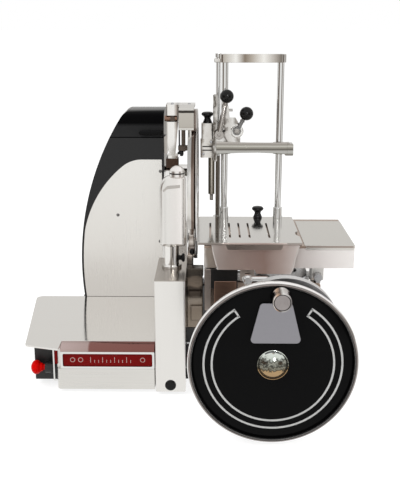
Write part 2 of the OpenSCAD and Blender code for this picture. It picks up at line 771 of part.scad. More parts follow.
module sharpener() color("silver") difference() {
    union() {
        slab_z(housing_right + 5, blade_face_x - 4, sharp_y0, sharp_y1, sharp_top - 5, sharp_top, 3);
        slab_z(housing_right + 6, housing_right + 34, sharp_y0 + 2, sharp_y1 - 2, sharp_top - 32, sharp_top - 4, 2);
        front_form(sharp_y0 + 4, sharp_y1 - 6) polygon([[housing_right + 6, sharp_top - 31],
            [housing_right + 32, sharp_top - 31], [housing_right + 28, sharp_top - 70],
            [housing_right + 24, sharp_top - 115], [housing_right + 12, sharp_top - 115],
            [housing_right + 6, sharp_top - 70]]);
        slab_z(housing_right + 7, housing_right + 30, sharp_y0 + 3, sharp_y1 - 8, sharp_top - 120, sharp_top - 114, 2);
        slab_z(housing_right + 36, guard_plate_x1 - 8, sharp_y0 + 2, sharp_y1 - 2, sharp_top - 46, sharp_top - 4, 2);
        slab_y(housing_right, housing_right + 8, blade_y - 20, blade_y + 20, sharp_top - 110, sharp_top - 70, 3);
    }
    slab_y(housing_right, housing_right + 30, sharp_y0 - 1, sharp_y0 + 18, sharp_top - 38, sharp_top - 24, 3);
}

module sharpening_stones() color("peru") {
    rod_y(6, sharp_y0 + 3.5, sharp_y0 + 18, housing_right + 19, sharp_top - 31);
    rod_z(4.5, sharp_top - 105, sharp_top - 46, guard_plate_x1 - 20, sharp_y0 + 12);
    rod_z(12, sharp_top - 102, sharp_top - 92, guard_plate_x1 - 20, sharp_y0 + 12);
}

// Edge guard beside the blade's cutting side, on its post

module edge_guard() color("silver") {
    difference() {
        union() {
            rod_z(18, column_top, column_top + 6, column_mid, guard_y);
            rod_z(13, column_top + 5, guard_z0 + 2, column_mid, guard_y);
        }
        rod_y(3.5, guard_y - 20, guard_y - 8, column_mid - 1, column_top + 36);
    }
    slab_y(column_mid - guard_w / 2, guard_right, guard_y - guard_tube_r, guard_y + guard_tube_r,
        guard_z0, guard_z0 + 14, 4);
    // Tube that rises at the left and bends over towards the blade
    rod_z(guard_tube_r, guard_z0 + 12, guard_z1, guard_tube_x, guard_y);
    translate([guard_bend_x, guard_y, guard_z1]) rotate([90, 0, 0]) rotate(90)
        rotate_extrude(angle = 90) translate([guard_bend_r, 0]) circle(guard_tube_r);
    rod_x(guard_tube_r, guard_bend_x, guard_right - 2, guard_y, guard_z1 + guard_bend_r);
    // Web inside the bent tube
    front_form(guard_y - 3, guard_y + 6) polygon(concat(
        [[guard_right, guard_z1 + guard_bend_r], [guard_right, guard_z0 + 12], [guard_tube_x, guard_z0 + 12]],
        arc(guard_bend_x, guard_z1, guard_bend_r, 180, 90, 8)));
    rod_z(guard_cap_r, guard_z1 + guard_bend_r, column_top + guard_h - guard_cap_r, column_mid + 9, guard_y);
    translate([column_mid + 9, guard_y, column_top + guard_h - guard_cap_r]) sphere(guard_cap_r);
}

module guard_knob() color("black") {
    translate([column_mid + 11, guard_y, column_top + 20]) rotate([0, 90, 0]) mushroom(9, 16);
}

// Switch box and stop button

module switch_box() color("#151515") difference() {
    slab_x(panel_left - switch_d, panel_left, switch_y, switch_y + switch_w, foot_h + 4, shelf_z - 6, 5);
    slab_x(panel_left - switch_d - 1, panel_left - switch_d + 3, switch_y + 12, switch_y + switch_w - 12,
        foot_h + 20, shelf_z - 22, 3);
}

module stop_collar() color("#202020") difference() {
    union() {
        slab_x(panel_left - stop_bracket_w, panel_left, stop_y - 11, stop_y + 11, stop_z - 11, stop_z + 11, 3);
        rod_x(11.5, stop_collar_x0, panel_left - stop_bracket_w, stop_y, stop_z);
    }
    rod_x(6 + run_gap, stop_collar_x0 - 1, panel_left - 2, stop_y, stop_z);
}

module stop_button() color("red") translate([stop_collar_x0 - button_gap, stop_y, stop_z]) rotate([0, -90, 0]) union() {
    // Round head with a short neck
    rotate_extrude() polygon(concat([[0, 0], [button_r * 0.55, 0], [button_r * 0.6, 2]],
        [for (a = [-50:10:80]) [button_r * cos(a), button_r * (0.9 + 0.75 * sin(a))]], [[0, button_r * 1.65]]));
    translate([0, 0, -18]) cylinder(r = 6, h = 19);
}

// Flywheel

module flywheel() color("#111111") translate([wheel_x, wheel_face, wheel_z]) rotate([-90, 0, 0]) difference() {
    rotate_extrude($fn = 128) polygon([[0, 0], [disc_r - 6, 0], [disc_r, 3], [disc_r, wheel_d - 8], [disc_r - 26, wheel_d - 8],
        [disc_r - 34, 14], [56, 12], [46, wheel_d - 4], [0, wheel_d - 4]]);
    translate([0, 0, -1]) cylinder(r = shaft_r, h = wheel_d);
}

module flywheel_rim() color("gainsboro") translate([wheel_x, wheel_front, wheel_z]) rotate([-90, 0, 0])
    rotate_extrude($fn = 128) polygon([[disc_r, 3], [disc_r + 1.5, 0], [disc_r + 4, 0], [wheel_r - 1, 3], [wheel_r, 6],
        [wheel_r - 0.6, 13], [wheel_r - 2.5, 21], [disc_r + 2.5, wheel_d - 3], [disc_r + 1, wheel_d], [disc_r, wheel_d]]);

module hub_cap() color("gainsboro") translate([wheel_x, wheel_face, wheel_z]) rotate([90, 0, 0])
    rotate_extrude() polygon(concat([[0, 0], [27, 0], [27, 3]], arc(0, -14, 31, 33, 90, 10)));

module crank_plate() color("darkgray") {
    // Tapered plate, and the neck that carries the grip pin
    translate([wheel_x, 0, wheel_z]) front_form(crank_plate_y, crank_plate_y + crank_plate_t) {
        hull() for (m = [-1, 1]) {
            translate([crank_side + m * 35, 49]) circle(crank_corner, $fn = hull_fn);
            translate([crank_side + m * 21, 106]) circle(crank_corner, $fn = hull_fn);
        }
        hull() for (z = [96, grip_throw]) translate([grip_side, z]) circle(grip_r - 2, $fn = hull_fn);
    }
    for (x = [-24, 24]) rod_y(7, crank_plate_y + 1, wheel_face, wheel_x + x, wheel_z + 52);
    rod_y(grip_pin_r, grip_y0 + 10, wheel_face, grip_x, grip_z);
}

module crank_grip() color("silver") difference() {
    translate([grip_x, grip_y1, grip_z]) rotate([90, 0, 0]) rotate_extrude() polygon([[0, 0], [grip_r + 1, 0], [grip_r + 1, 4],
        [grip_r, 6], [grip_r, grip_len - 1.5], [grip_r - 1.5, grip_len], [0, grip_len]]);
    rod_y(grip_pin_r + run_gap, grip_y0 + 9, grip_y1 + 1, grip_x, grip_z);
}

module flywheel_shaft() color("silver") {
    for (a = [apex, crank_apex]) difference() {
        translate(a) rotate([-90, 0, 0]) bevel_gear(0);
        rod_y(shaft_r, a[1] - pitch_r - hub_h - 1, a[1], wheel_x, wheel_z);
    }
    rod_y(shaft_r, wheel_face, apex[1] - pitch_r * gear_small - 1, wheel_x, wheel_z);
}

// Cross shaft to the belt, upright shaft to the carriage crank

module cross_shaft() color("silver") {
    difference() {
        translate(apex) rotate([0, 90, 0]) bevel_gear(180 / gear_teeth);
        rod_x(shaft_r, apex[0] - pitch_r - hub_h - 1, apex[0], cross_y, wheel_z);
    }
    rod_x(shaft_r, cross_x0, apex[0] - pitch_r * gear_small - 1, cross_y, wheel_z);
}

module drive_pulley() color("dimgray") difference() {
    rod_x(drive_pulley_r, pulley_x - belt_w / 2 - 1, pulley_x + belt_w / 2 + 1, cross_y, wheel_z);
    rod_x(shaft_r, pulley_x - belt_w, pulley_x + belt_w, cross_y, wheel_z);
}

module crank_shaft() color("silver") {
    difference() {
        translate(crank_apex) rotate([180, 0, 0]) bevel_gear(180 / gear_teeth);
        rod_z(shaft_r, wheel_z, bridge_z0, wheel_x, crank_y);
    }
    rod_z(shaft_r, wheel_z + pitch_r * gear_small + 1, crank_disc_z + crank_disc_t, wheel_x, crank_y);
}

module crank_disc() color("gray") {
    difference() {
        rod_z(crank_disc_r, crank_disc_z, crank_disc_z + crank_disc_t, wheel_x, crank_y);
        rod_z(shaft_r, crank_disc_z - 1, crank_disc_z + crank_disc_t + 1, wheel_x, crank_y);
        for (a = [0, 90, 180]) translate([wheel_x, crank_y, 0]) rotate(a)
            rod_z(crank_disc_r * 0.24, crank_disc_z - 1, crank_disc_z + crank_disc_t + 1, crank_disc_r * 0.55, 0);
    }
    rod_z(crank_pin_r, crank_disc_z + crank_disc_t, crank_disc_z + crank_disc_t + crank_pin_h, wheel_x, crank_y - crank_throw);
}

// Carriage

module carriage_deck() color("silver") difference() {
    slab_z(carriage_left, carriage_right, carriage_front, carriage_back, carriage_top - carriage_wall, carriage_top, 3);
    slab_z(nut_x - nut_w / 2 - 4, nut_x + feed_travel + nut_w / 2 + 4, screw_y - 9, screw_y + 9,
        carriage_top - carriage_wall - 1, carriage_top + 1, 3);
}

module carriage_skirt() color("silver") {
    difference() {
        union() {
            difference() {
                slab_z(carriage_left, carriage_right, carriage_front, carriage_back, skirt_z, carriage_top - carriage_wall, 3);
                block(carriage_left + carriage_wall, carriage_right - carriage_wall, carriage_front + carriage_wall,
                    carriage_back - carriage_wall, skirt_z - 1, carriage_top);
            }
            for (y = block_y) block(carriage_left + 1, carriage_right - 1, y - block_len / 2, y + block_len / 2,
                skirt_z, skirt_z + 6);
            block(feed_lever_x - 14, feed_lever_x + 14, carriage_front, carriage_front + 8, feed_lever_z - 11, skirt_z + 1);
        }
        rod_x(screw_r + run_gap, carriage_left - 1, carriage_right + 1, screw_y, screw_z);
        rod_y(6 + run_gap, carriage_front - 1, carriage_front + 9, feed_lever_x, feed_lever_z);
    }
    rod_z(crank_pin_r, rod_z - 2, skirt_z + 1, wheel_x, wrist_y);
    rod_z(crank_pin_r + 3, rod_z - 2, rod_z - 0.2, wheel_x, wrist_y);
}

module carriage_cover() color("gainsboro") {
    slab_z(table_right + 5, carriage_right, carriage_front - 1.5, carriage_back - 24, carriage_top, carriage_top + 1.5, 2);
    block(table_right + 7, carriage_right - 2, carriage_front - 1.5, carriage_front, carriage_top - 8, carriage_top + 1);
}

module guide_blocks() color("dimgray") for (x = [rail_l_x, rail_r_x], y = block_y) difference() {
    block(x - block_w / 2, x + block_w / 2, y - block_len / 2, y + block_len / 2, rail_z - rail_r - 1, skirt_z);
    rod_y(rail_r + run_gap, y - block_len, y + block_len, x, rail_z);
    block(x - rail_r * 0.8, x + rail_r * 0.8, y - block_len, y + block_len, rail_z - rail_r - 2, rail_z - 2);
}

module connecting_rod() color("gray") difference() {
    union() {
        rod_z(15, rod_z, rod_z + rod_t, wheel_x, wrist_y);
        rod_z(15, rod_z, rod_z + rod_t, wheel_x, wrist_y - rod_len);
        block(wheel_x - 9, wheel_x + 9, wrist_y - rod_len, wrist_y, rod_z, rod_z + rod_t);
    }
    rod_z(crank_pin_r + run_gap, rod_z - 1, rod_z + rod_t + 1, wheel_x, wrist_y - rod_len);
    rod_z(crank_pin_r + run_gap, rod_z - 1, rod_z + rod_t + 1, wheel_x, wrist_y);
}

// Meat table with its slots, posts and clamp

module meat_table() color("gainsboro") {
    difference() {
        union() {
            slab_z(table_left, table_right, table_front, table_back, table_z0, table_top, 6);
            slab_z(thin_post_x - 10, thin_post_x + 10, table_back - 12, table_back + 20, table_z0, table_top, 5);
        }
        for (x = [40, 80, 100, 120, 160]) slab_z(x + 6, x + 6 + slot_w, table_front + 40, table_front + 40 + slot_len,
            table_z0 - 1, table_top + 1, slot_w / 2 - 0.1);
        translate([table_right + 40, (table_front + table_back) / 2 - 40, table_z0 - 1]) cylinder(r = 47, h = table_t + 2);
    }
    for (y = [table_front + 20, table_back - 26])
        block(table_left + 18, table_right + 2 - feed_travel, y - 8, y + 8, carriage_top, table_z0);
    difference() {
        block(nut_x - nut_w / 2, nut_x + nut_w / 2, screw_y - 8, screw_y + 8, screw_z - 12, table_z0);
        rod_x(screw_r + run_gap, nut_x - nut_w, nut_x + nut_w, screw_y, screw_z);
    }
}

module table_knob() color("black") translate([post_left_x + 75, post_y, table_top + seat_gap]) mushroom(13, 26);

module apron() color("rosybrown") {
    front_form(table_front - apron_gap - apron_t, table_front - apron_gap) polygon([
        [table_left + 28, table_top - 1], [table_left + 31, table_top - 20], [table_left + 36, table_top - 40],
        [table_left + 40, skirt_z - 2], [feed_lever_x + 14, skirt_z - 2], [feed_lever_x + 18, skirt_z - 10],
        [table_right - 22, skirt_z - 11], [table_right - 17, skirt_z - 2], [table_right - 12, table_top - 28],
        [table_right - 4, table_top - 1]]);
    // Folded lip under the table's front edge
    front_form(table_front - apron_gap - apron_t - 3, table_front - apron_gap - apron_t) polygon([
        [table_left + 50, table_top], [table_left + 56, table_top - 11], [table_left + 60, table_top - 14],
        [table_right - 40, table_top - 14], [table_right - 36, table_top - 11], [table_right - 30, table_top]]);
    block(table_left + 50, table_right - 30, table_front - apron_gap - apron_t - 3, table_front, table_z0 + 1, table_top);
}

module posts() color("gainsboro") {
    for (x = [post_left_x, post_right_x]) {
        rod_z(post_r, table_top, post_top, x, post_y);
        rod_z(post_r + 3, table_top, table_top + 24, x, post_y);
    }
    rod_z(thin_post_r, table_top, post_top - 4, thin_post_x, thin_post_y);
    rod_z(thin_post_r + 2, post_top - 4, post_top + 4, thin_post_x, thin_post_y);
}

module top_strap() color("silver") difference() {
    union() {
        slab_z(post_left_x - 11, post_right_x + 11, post_y - 9.5, post_y + 9.5, post_top - 14, post_top, 9);
        slab_z(thin_post_x - 9, post_left_x + 4, post_y - 4, thin_post_y + 9, post_top - 14, post_top - 6, 4);
    }
    for (x = [post_left_x, post_right_x]) rod_z(post_r, post_top - 15, post_top + 1, x, post_y);
    rod_z(thin_post_r, post_top - 15, post_top + 1, thin_post_x, thin_post_y);
}

module feed_screw() color("silver") {
    rod_x(screw_r, carriage_left, carriage_right, screw_y, screw_z);
}

module feed_lever() color("gainsboro") {
    translate([feed_lever_x, feed_lever_y, feed_lever_z]) rotate([90, 0, 0]) {
        cylinder(r = 11, h = 18, $fn = 6);
        translate([0, 0, 17]) cylinder(r1 = 9, r2 = 6, h = 5);
    }
    rod_y(6, feed_lever_y - 1, carriage_front + 8, feed_lever_x, feed_lever_z);
    rod_x(5.5, feed_lever_x, feed_lever_x + 36, feed_lever_y - 10, feed_lever_z);
    translate([feed_lever_x + 36, feed_lever_y - 10, feed_lever_z]) sphere(5.5);
}

// Front view of the clamp bar, narrower in the middle than at its ends
module bar_outline() {
    steps = 12;
    polygon(concat(
        [for (i = [0:steps]) [bar_left + (bar_right - bar_left) * i / steps, clamp_z1 - bar_waist * sin(180 * i / steps)]],
        [for (i = [steps:-1:0]) [bar_left + (bar_right - bar_left) * i / steps, clamp_z0 + 2 + bar_waist * sin(180 * i / steps)]]));
}

module clamp_bar() color("silver") difference() {
    union() {
        front_form(clamp_y0 + 4, clamp_y1 - 4) bar_outline();
        for (x = [post_left_x, post_right_x]) rod_z(post_r + 6, clamp_z0, clamp_z1, x, post_y);
        slab_y(post_right_x + 12, post_right_x + 30, clamp_y0, clamp_y1, clamp_z0 - 3, clamp_z1 - 2, 2);
    }
    for (x = [post_left_x, post_right_x]) rod_z(post_r + run_gap, clamp_z0 - 5, clamp_z1 + 5, x, post_y);
    front_form(clamp_y0 - 1, clamp_y0 + 6) translate([post_left_x + 16, clamp_z0 + 11]) square([post_gap - 32, 2.5]);
}

module clamp_blocks() color("silver") {
    slab_z(knob_x - 15, knob_x + 14, clamp_y0 + 2, clamp_y1 - 2, clamp_z0 - 8, clamp_z1 + 8, 3);
    slab_z(knob_x - 13, knob_x + 12, clamp_y0 + 4, clamp_y1 - 4, clamp_z1 + 8, knob_z, 3);
    // Pale plate behind the levers
    slab_y(knob_x + 12, knob_x + 21, clamp_y0, clamp_y0 + 4, clamp_z0 - 16, clamp_z1 + 104, 3);
    rod_z(7, clamp_z0 - 90, clamp_z0 - 8, knob_x + 9, post_y);
    rod_z(4, clamp_z0 - 104, clamp_z0 - 90, knob_x + 9, post_y);
    // Pivot plate with the upright wedge and the ribbed boss of the lock lever
    slab_y(lever_x - 12, lock_x + 8, clamp_y0, clamp_y0 + 6, clamp_z1, lever_z + 12, 4);
    front_form(clamp_y0 - 4, clamp_y0 + 3) polygon([[lever_x, clamp_z1 + 6], [lever_x + 28, clamp_z1 + 6],
        [lever_x + 20, clamp_z1 + 80], [lever_x + 7, clamp_z1 + 80]]);
    front_form(clamp_y0 - 2, clamp_y0 + 3) polygon([[lock_x - 16, clamp_z1 + 8], [lock_x + 6, clamp_z1 + 8],
        [lock_x + 6, clamp_z1 + 40], [lock_x - 3, clamp_z1 + 55], [lock_x - 16, clamp_z1 + 55]]);
    rod_x(3, lever_x + 18, lever_x + 29, clamp_y0, clamp_z1 + 71);
    rod_y(pivot_r, lever_y - 3, clamp_y0 + 4, lever_x, lever_z);
    rod_y(pivot_r, clamp_y0 - 18, clamp_y0 + 4, lock_x, lock_z);
}

// Tapered arm with a ball at its end, from a pivot
module ball_arm(r1, r2, start, length) {
    translate([0, 0, start]) cylinder(r1 = r1, r2 = r2, h = length - start - ball_r * 0.8);
    translate([0, 0, length]) color("black") sphere(ball_r);
}

module clamp_lever() color("silver") {
    difference() {
        rod_y(10, lever_y, lever_y + lever_t, lever_x, lever_z);
        rod_y(pivot_r + run_gap, lever_y - 1, lever_y + lever_t + 1, lever_x, lever_z);
    }
    translate([lever_x, lever_y + lever_t / 2, lever_z]) rotate([0, lever_lean, 0]) ball_arm(6.2, 4.6, 7, lever_len);
}

module lock_lever() color("silver") {
    difference() {
        rod_y(9, clamp_y0 - 17, clamp_y0 - 7, lock_x, lock_z);
        rod_y(pivot_r + run_gap, clamp_y0 - 18, clamp_y0 - 6, lock_x, lock_z);
    }
    translate([lock_x, clamp_y0 - 12, lock_z]) rotate([0, lock_lean, 0]) ball_arm(4.5, 3.6, 7, lock_len);
}

module clamp_knob() color("black") translate([knob_x, post_y, knob_z + seat_gap]) mushroom(13, 24);

module place() translate([-origin_x, -origin_y, 0]) children();

place() base_housing();
place() base_plate();
place() rubber_feet();
place() front_panel();
place() label_plate();
place() label_frame();
place() front_trim();
place() receiving_plate();
place() slide_column();
place() column_plug();
place() bed_walls();
place() bed_front_plate();
place() rails();
place() gear_case();
place() shaft_bearings();
place() bearing_bridge();
place() belt_case();
place() belt_case_cover();
place() drive_belt();
place() drive_housing();
place() side_panel();
place() blade_guard();
place() sharpener();
place() sharpening_stones();
place() edge_guard();
place() guard_knob();
place() switch_box();
place() stop_collar();
place() housing_lid();
place() lid_handle();
place() flywheel();
place() flywheel_rim();
place() hub_cap();
place() crank_plate();
place() flywheel_shaft();
place() crank_grip();
place() cross_shaft();
place() drive_pulley();
place() crank_shaft();
place() crank_disc();
place() blade();
place() blade_spindle();
place() carriage_deck();
place() carriage_skirt();
place() carriage_cover();
place() guide_blocks();
place() connecting_rod();
place() meat_table();
place() table_knob();
place() apron();
place() posts();
place() top_strap();
place() feed_screw();
place() feed_lever();
place() clamp_bar();
place() clamp_blocks();
place() clamp_lever();
place() lock_lever();
place() clamp_knob();
place() stop_button();
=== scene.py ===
"""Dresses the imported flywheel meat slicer: finishes, rounded edges, small pieces, studio and camera.

Everything is in metres in the part's own frame: +X to the right seen from the flywheel,
+Y to the back, +Z up.
"""

from __future__ import annotations

import json
import logging
import math
from dataclasses import dataclass, field
from enum import Enum
from typing import Optional, Sequence, Union

import bpy
from mathutils import Matrix, Vector

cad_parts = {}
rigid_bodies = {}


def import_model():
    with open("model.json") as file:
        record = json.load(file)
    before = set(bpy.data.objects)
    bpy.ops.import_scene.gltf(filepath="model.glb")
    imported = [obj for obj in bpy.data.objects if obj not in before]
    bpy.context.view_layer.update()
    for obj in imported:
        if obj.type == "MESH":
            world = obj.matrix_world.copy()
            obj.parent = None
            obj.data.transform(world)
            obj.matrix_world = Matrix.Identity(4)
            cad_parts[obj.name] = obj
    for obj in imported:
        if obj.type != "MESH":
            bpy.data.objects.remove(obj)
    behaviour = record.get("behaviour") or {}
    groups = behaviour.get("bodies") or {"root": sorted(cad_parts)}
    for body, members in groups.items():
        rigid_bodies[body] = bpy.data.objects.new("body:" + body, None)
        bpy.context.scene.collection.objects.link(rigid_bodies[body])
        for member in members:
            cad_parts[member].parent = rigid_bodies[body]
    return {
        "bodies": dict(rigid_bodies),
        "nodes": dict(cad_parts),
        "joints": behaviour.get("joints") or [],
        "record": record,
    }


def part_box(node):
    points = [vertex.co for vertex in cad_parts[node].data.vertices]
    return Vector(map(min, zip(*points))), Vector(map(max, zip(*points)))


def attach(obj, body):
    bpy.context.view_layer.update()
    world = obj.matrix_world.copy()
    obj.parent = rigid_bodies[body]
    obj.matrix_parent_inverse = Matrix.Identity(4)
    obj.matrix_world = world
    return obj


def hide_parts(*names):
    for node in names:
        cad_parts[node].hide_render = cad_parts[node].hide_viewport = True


LOG = logging.getLogger("slicer")
MM = 0.001
# Depth of the relief of each kind of finish, in millimetres
METAL_DEPTH = 0.4
ENAMEL_DEPTH = 0.5
MOULDED_DEPTH = 0.3
# Noise frequencies per metre
SMUDGES = 14.0
LATHE_SMUDGES = 16.0
WAVES = 190.0
HAZE = 11.0
MOTTLE = 30.0
# Distances within which corners become one, in metres
DOUBLES = 0.005 * MM
CAD_DOUBLES = 0.002 * MM

Color = tuple[float, float, float]
Pairs = list[tuple[float, float]]
Profile = Sequence[tuple[float, float]]
Corner = tuple[float, float, float]
Boxes = Sequence[tuple[Corner, Corner]]

FRONT = Vector((0.0, -1.0, 0.0))
BACK = Vector((0.0, 1.0, 0.0))
RIGHT = Vector((1.0, 0.0, 0.0))
UP = Vector((0.0, 0.0, 1.0))
# The part's own origin, seen from the corner that the drawing's sizes are counted from
DRAWING = Vector((10.5, 67.0, 0.0))


def spot(x: float, y: float, z: float) -> Vector:
    """A place given in the drawing's millimetres, in the frame's metres."""
    return (Vector((x, y, z)) + DRAWING) * MM


def metres(profile: Profile) -> Pairs:
    """A profile given in millimetres, in metres."""
    return [(radius * MM, height * MM) for radius, height in profile]


def arc(wide: float, high: float, angles: range) -> Pairs:
    """Places on an ellipse round nought, at angles in degrees."""
    turns = [math.radians(angle) for angle in angles]
    return [(wide * math.cos(turn), high * math.sin(turn)) for turn in turns]


class Grain(Enum):
    """Which way the polishing marks of a metal run, as noise frequencies per metre along x, y and z."""

    ALONG_X = (6.0, 420.0, 420.0)
    ALONG_Y = (420.0, 6.0, 420.0)
    ALONG_Z = (420.0, 420.0, 6.0)
    ALL_WAYS = (160.0, 160.0, 160.0)


class Wire:
    """A shader value that takes part in Python expressions: each operator adds one Math node."""

    def __init__(self, graph: "Graph", socket: bpy.types.NodeSocket) -> None:
        """Wraps one output socket.

        Args:
            graph: The material graph that the socket is in.
            socket: The output socket.
        """
        self.graph = graph
        self.socket = socket

    def _math(self, operation: str, first: "Operand", second: "Operand") -> "Wire":
        """Adds a Math node for two operands."""
        node = self.graph.node("ShaderNodeMath", {"operation": operation}, {0: first, 1: second})
        return Wire(self.graph, node.outputs[0])

    def __add__(self, other: "Operand") -> "Wire":
        """Sum."""
        return self._math("ADD", self, other)

    __radd__ = __add__

    def __sub__(self, other: "Operand") -> "Wire":
        """Difference."""
        return self._math("SUBTRACT", self, other)

    def __rsub__(self, other: "Operand") -> "Wire":
        """Difference from a number."""
        return self._math("SUBTRACT", other, self)

    def __mul__(self, other: "Operand") -> "Wire":
        """Product."""
        return self._math("MULTIPLY", self, other)

    __rmul__ = __mul__

    def above(self, edge: float) -> "Wire":
        """One where the value is larger than the edge."""
        return self._math("GREATER_THAN", self, edge)

    def over(self, other: "Operand") -> "Wire":
        """Angle in radians of a direction with this value across and the other ahead."""
        return self._math("ARCTAN2", self, other)

    def ramp(self, low: float, high: float) -> "Wire":
        """A smooth step from 0 at the low edge to 1 at the high edge."""
        return self.graph.value("ShaderNodeMapRange", 0, {"interpolation_type": "SMOOTHSTEP"},
                                {0: self, 1: low, 2: high, 3: 0.0, 4: 1.0})


Operand = Union[Wire, float]
SocketValue = Union[Wire, bpy.types.NodeSocket, float, Color, tuple]


class Graph:
    """The nodes of one material or world."""

    def __init__(self, tree: bpy.types.NodeTree) -> None:
        """Empties a node tree and takes it over.

        Args:
            tree: The material's or the world's node tree.
        """
        self.tree = tree
        tree.nodes.clear()

    def node(self, kind: str, settings: Optional[dict] = None,
             inputs: Optional[dict] = None) -> bpy.types.Node:
        """Adds a node, sets it up and fills its sockets.

        Args:
            kind: The node's type name.
            settings: Properties that are set before the sockets are filled.
            inputs: Socket name or number to a number, colour, vector or link.

        Returns:
            The new node.
        """
        made = self.tree.nodes.new(kind)
        for name, value in (settings or {}).items():
            setattr(made, name, value)
        for key, value in (inputs or {}).items():
            target = made.inputs[key]
            if isinstance(value, Wire):
                self.tree.links.new(value.socket, target)
            elif isinstance(value, bpy.types.NodeSocket):
                self.tree.links.new(value, target)
            elif isinstance(value, (tuple, list)) and target.type == "RGBA" and len(value) == 3:
                target.default_value = (*value, 1.0)
            else:
                target.default_value = value
        return made

    def value(self, kind: str, output: Union[str, int], settings: Optional[dict] = None,
              inputs: Optional[dict] = None) -> Wire:
        """Adds a node and returns one of its outputs for use in expressions."""
        return Wire(self, self.node(kind, settings, inputs).outputs[output])

    def noise(self, vector: SocketValue, scale: float, detail: float = 3.0) -> Wire:
        """A noise value between 0 and 1 over the given coordinates."""
        return self.value("ShaderNodeTexNoise", 0, None,
                          {"Vector": vector, "Scale": scale, "Detail": detail})

    def bump(self, height: Wire, strength: float, distance: float) -> bpy.types.NodeSocket:
        """A normal that follows a height, with its distance in millimetres."""
        return self.node("ShaderNodeBump", None,
                         {"Height": height, "Strength": strength, "Distance": distance * MM}).outputs[0]

    def vector(self, operation: str, first: SocketValue, second: SocketValue) -> bpy.types.NodeSocket:
        """A vector worked out from two others."""
        return self.node("ShaderNodeVectorMath", {"operation": operation}, {0: first, 1: second}).outputs[0]

    def length(self, vector: SocketValue) -> Wire:
        """The length of a vector."""
        return self.value("ShaderNodeVectorMath", "Value", {"operation": "LENGTH"}, {0: vector})

    def along(self, value: Wire, span: tuple[float, float]) -> Wire:
        """Where a value lies in a span: 0 at its low end and 1 at its high end."""
        low, high = span
        return (value - low) * (1.0 / (high - low))

    def bands(self, along: Wire, stops: Sequence[tuple[float, Color]]) -> bpy.types.NodeSocket:
        """A row of colours along a value between 0 and 1.

        Args:
            along: The value.
            stops: Place and colour of each stop, in order.

        Returns:
            The colour output.
        """
        row = self.node("ShaderNodeValToRGB", None, {0: along})
        elements = row.color_ramp.elements
        while len(elements) < len(stops):
            elements.new(1.0)
        for element, (place, color) in zip(elements, stops):
            element.position = place
            element.color = (*color, 1.0)
        return row.outputs[0]

    def split(self, vector: SocketValue) -> tuple[Wire, Wire, Wire]:
        """The three parts of a vector."""
        made = self.node("ShaderNodeSeparateXYZ", None, {0: vector})
        return tuple(Wire(self, output) for output in made.outputs)

    def mix_color(self, factor: SocketValue, first: SocketValue,
                  second: SocketValue) -> bpy.types.NodeSocket:
        """A colour between two others."""
        return self.node("ShaderNodeMix", {"data_type": "RGBA"}, {0: factor, 6: first, 7: second}).outputs[2]

    def mottled(self, factor: Wire, color: Color, dark: float, light: float) -> bpy.types.NodeSocket:
        """One colour, made darker and lighter by a factor."""
        return self.mix_color(factor, shade(color, dark), shade(color, light))


def shade(color: Color, factor: float) -> Color:
    """A colour made darker or lighter by one factor."""
    return tuple(min(1.0, channel * factor) for channel in color)


@dataclass(frozen=True)
class Finish:
    """A finish that a piece can be given. Each kind of finish draws its own nodes."""

    name: str
    color: Color
    roughness: float

    def material(self) -> bpy.types.Material:
        """The finish as a Blender material, made on first use.

        Returns:
            The material.
        """
        found = bpy.data.materials.get(self.name)
        if found is not None:
            return found
        made = bpy.data.materials.new(self.name)
        made.use_nodes = True
        graph = Graph(made.node_tree)
        surface = graph.node("ShaderNodeBsdfPrincipled", None, self.sockets(graph))
        graph.node("ShaderNodeOutputMaterial", None, {"Surface": surface.outputs[0]})
        made.diffuse_color = (*self.color, 1.0)
        return made

    def sockets(self, graph: Graph) -> dict:
        """What the surface shader's sockets get."""
        raise NotImplementedError

    @staticmethod
    def coordinates(graph: Graph) -> bpy.types.NodeSocket:
        """The piece's own coordinates, in metres."""
        return graph.node("ShaderNodeTexCoord").outputs["Object"]


@dataclass(frozen=True)
class Metal(Finish):
    """Bare, polished, brushed or plated metal with fine marks along one direction and faint smudges."""

    grain: Grain = Grain.ALL_WAYS
    streak: float = 0.05
    smudge: float = 0.04
    tint: float = 0.05
    relief: float = 0.02
    metallic: float = 1.0

    def sockets(self, graph: Graph) -> dict:
        """Streaks vary colour, roughness and relief, smudges vary roughness.

        Args:
            graph: The graph that the nodes go in.

        Returns:
            What each socket of the surface shader gets, by its name.
        """
        place = self.coordinates(graph)
        grain = graph.node("ShaderNodeMapping", None, {"Vector": place, "Scale": self.grain.value})
        streaks = graph.noise(grain.outputs[0], 1.0, 4.0)
        smudges = graph.noise(place, SMUDGES)
        rough = self.roughness + (streaks - 0.5) * self.streak + (smudges - 0.5) * self.smudge
        return {"Base Color": graph.mottled(streaks, self.color, 1.0 - self.tint, 1.0 + self.tint),
                "Metallic": self.metallic, "Roughness": rough,
                "Normal": graph.bump(streaks, self.relief, METAL_DEPTH)}


@dataclass(frozen=True)
class Mirrored(Metal):
    """Polished metal with painted reflections: a row of tones along one axis, as if between light and dark
    surroundings.
    """

    axis: int = 2
    span: tuple[float, float] = (0.0, 1.0)
    tones: tuple[tuple[float, Color], ...] = ()
    wobble: float = 0.0
    wobble_scale: float = 70.0

    def sockets(self, graph: Graph) -> dict:
        """The tones lie between the two ends of the span, and noise makes their edges uneven.

        Args:
            graph: The graph that the nodes go in.

        Returns:
            What each socket of the surface shader gets, by its name.
        """
        filled = super().sockets(graph)
        place = self.coordinates(graph)
        along = graph.along(graph.split(place)[self.axis], self.span)
        if self.wobble > 0.0:
            along = along + (graph.noise(place, self.wobble_scale) - 0.5) * self.wobble
        filled["Base Color"] = graph.bands(along, self.tones)
        return filled


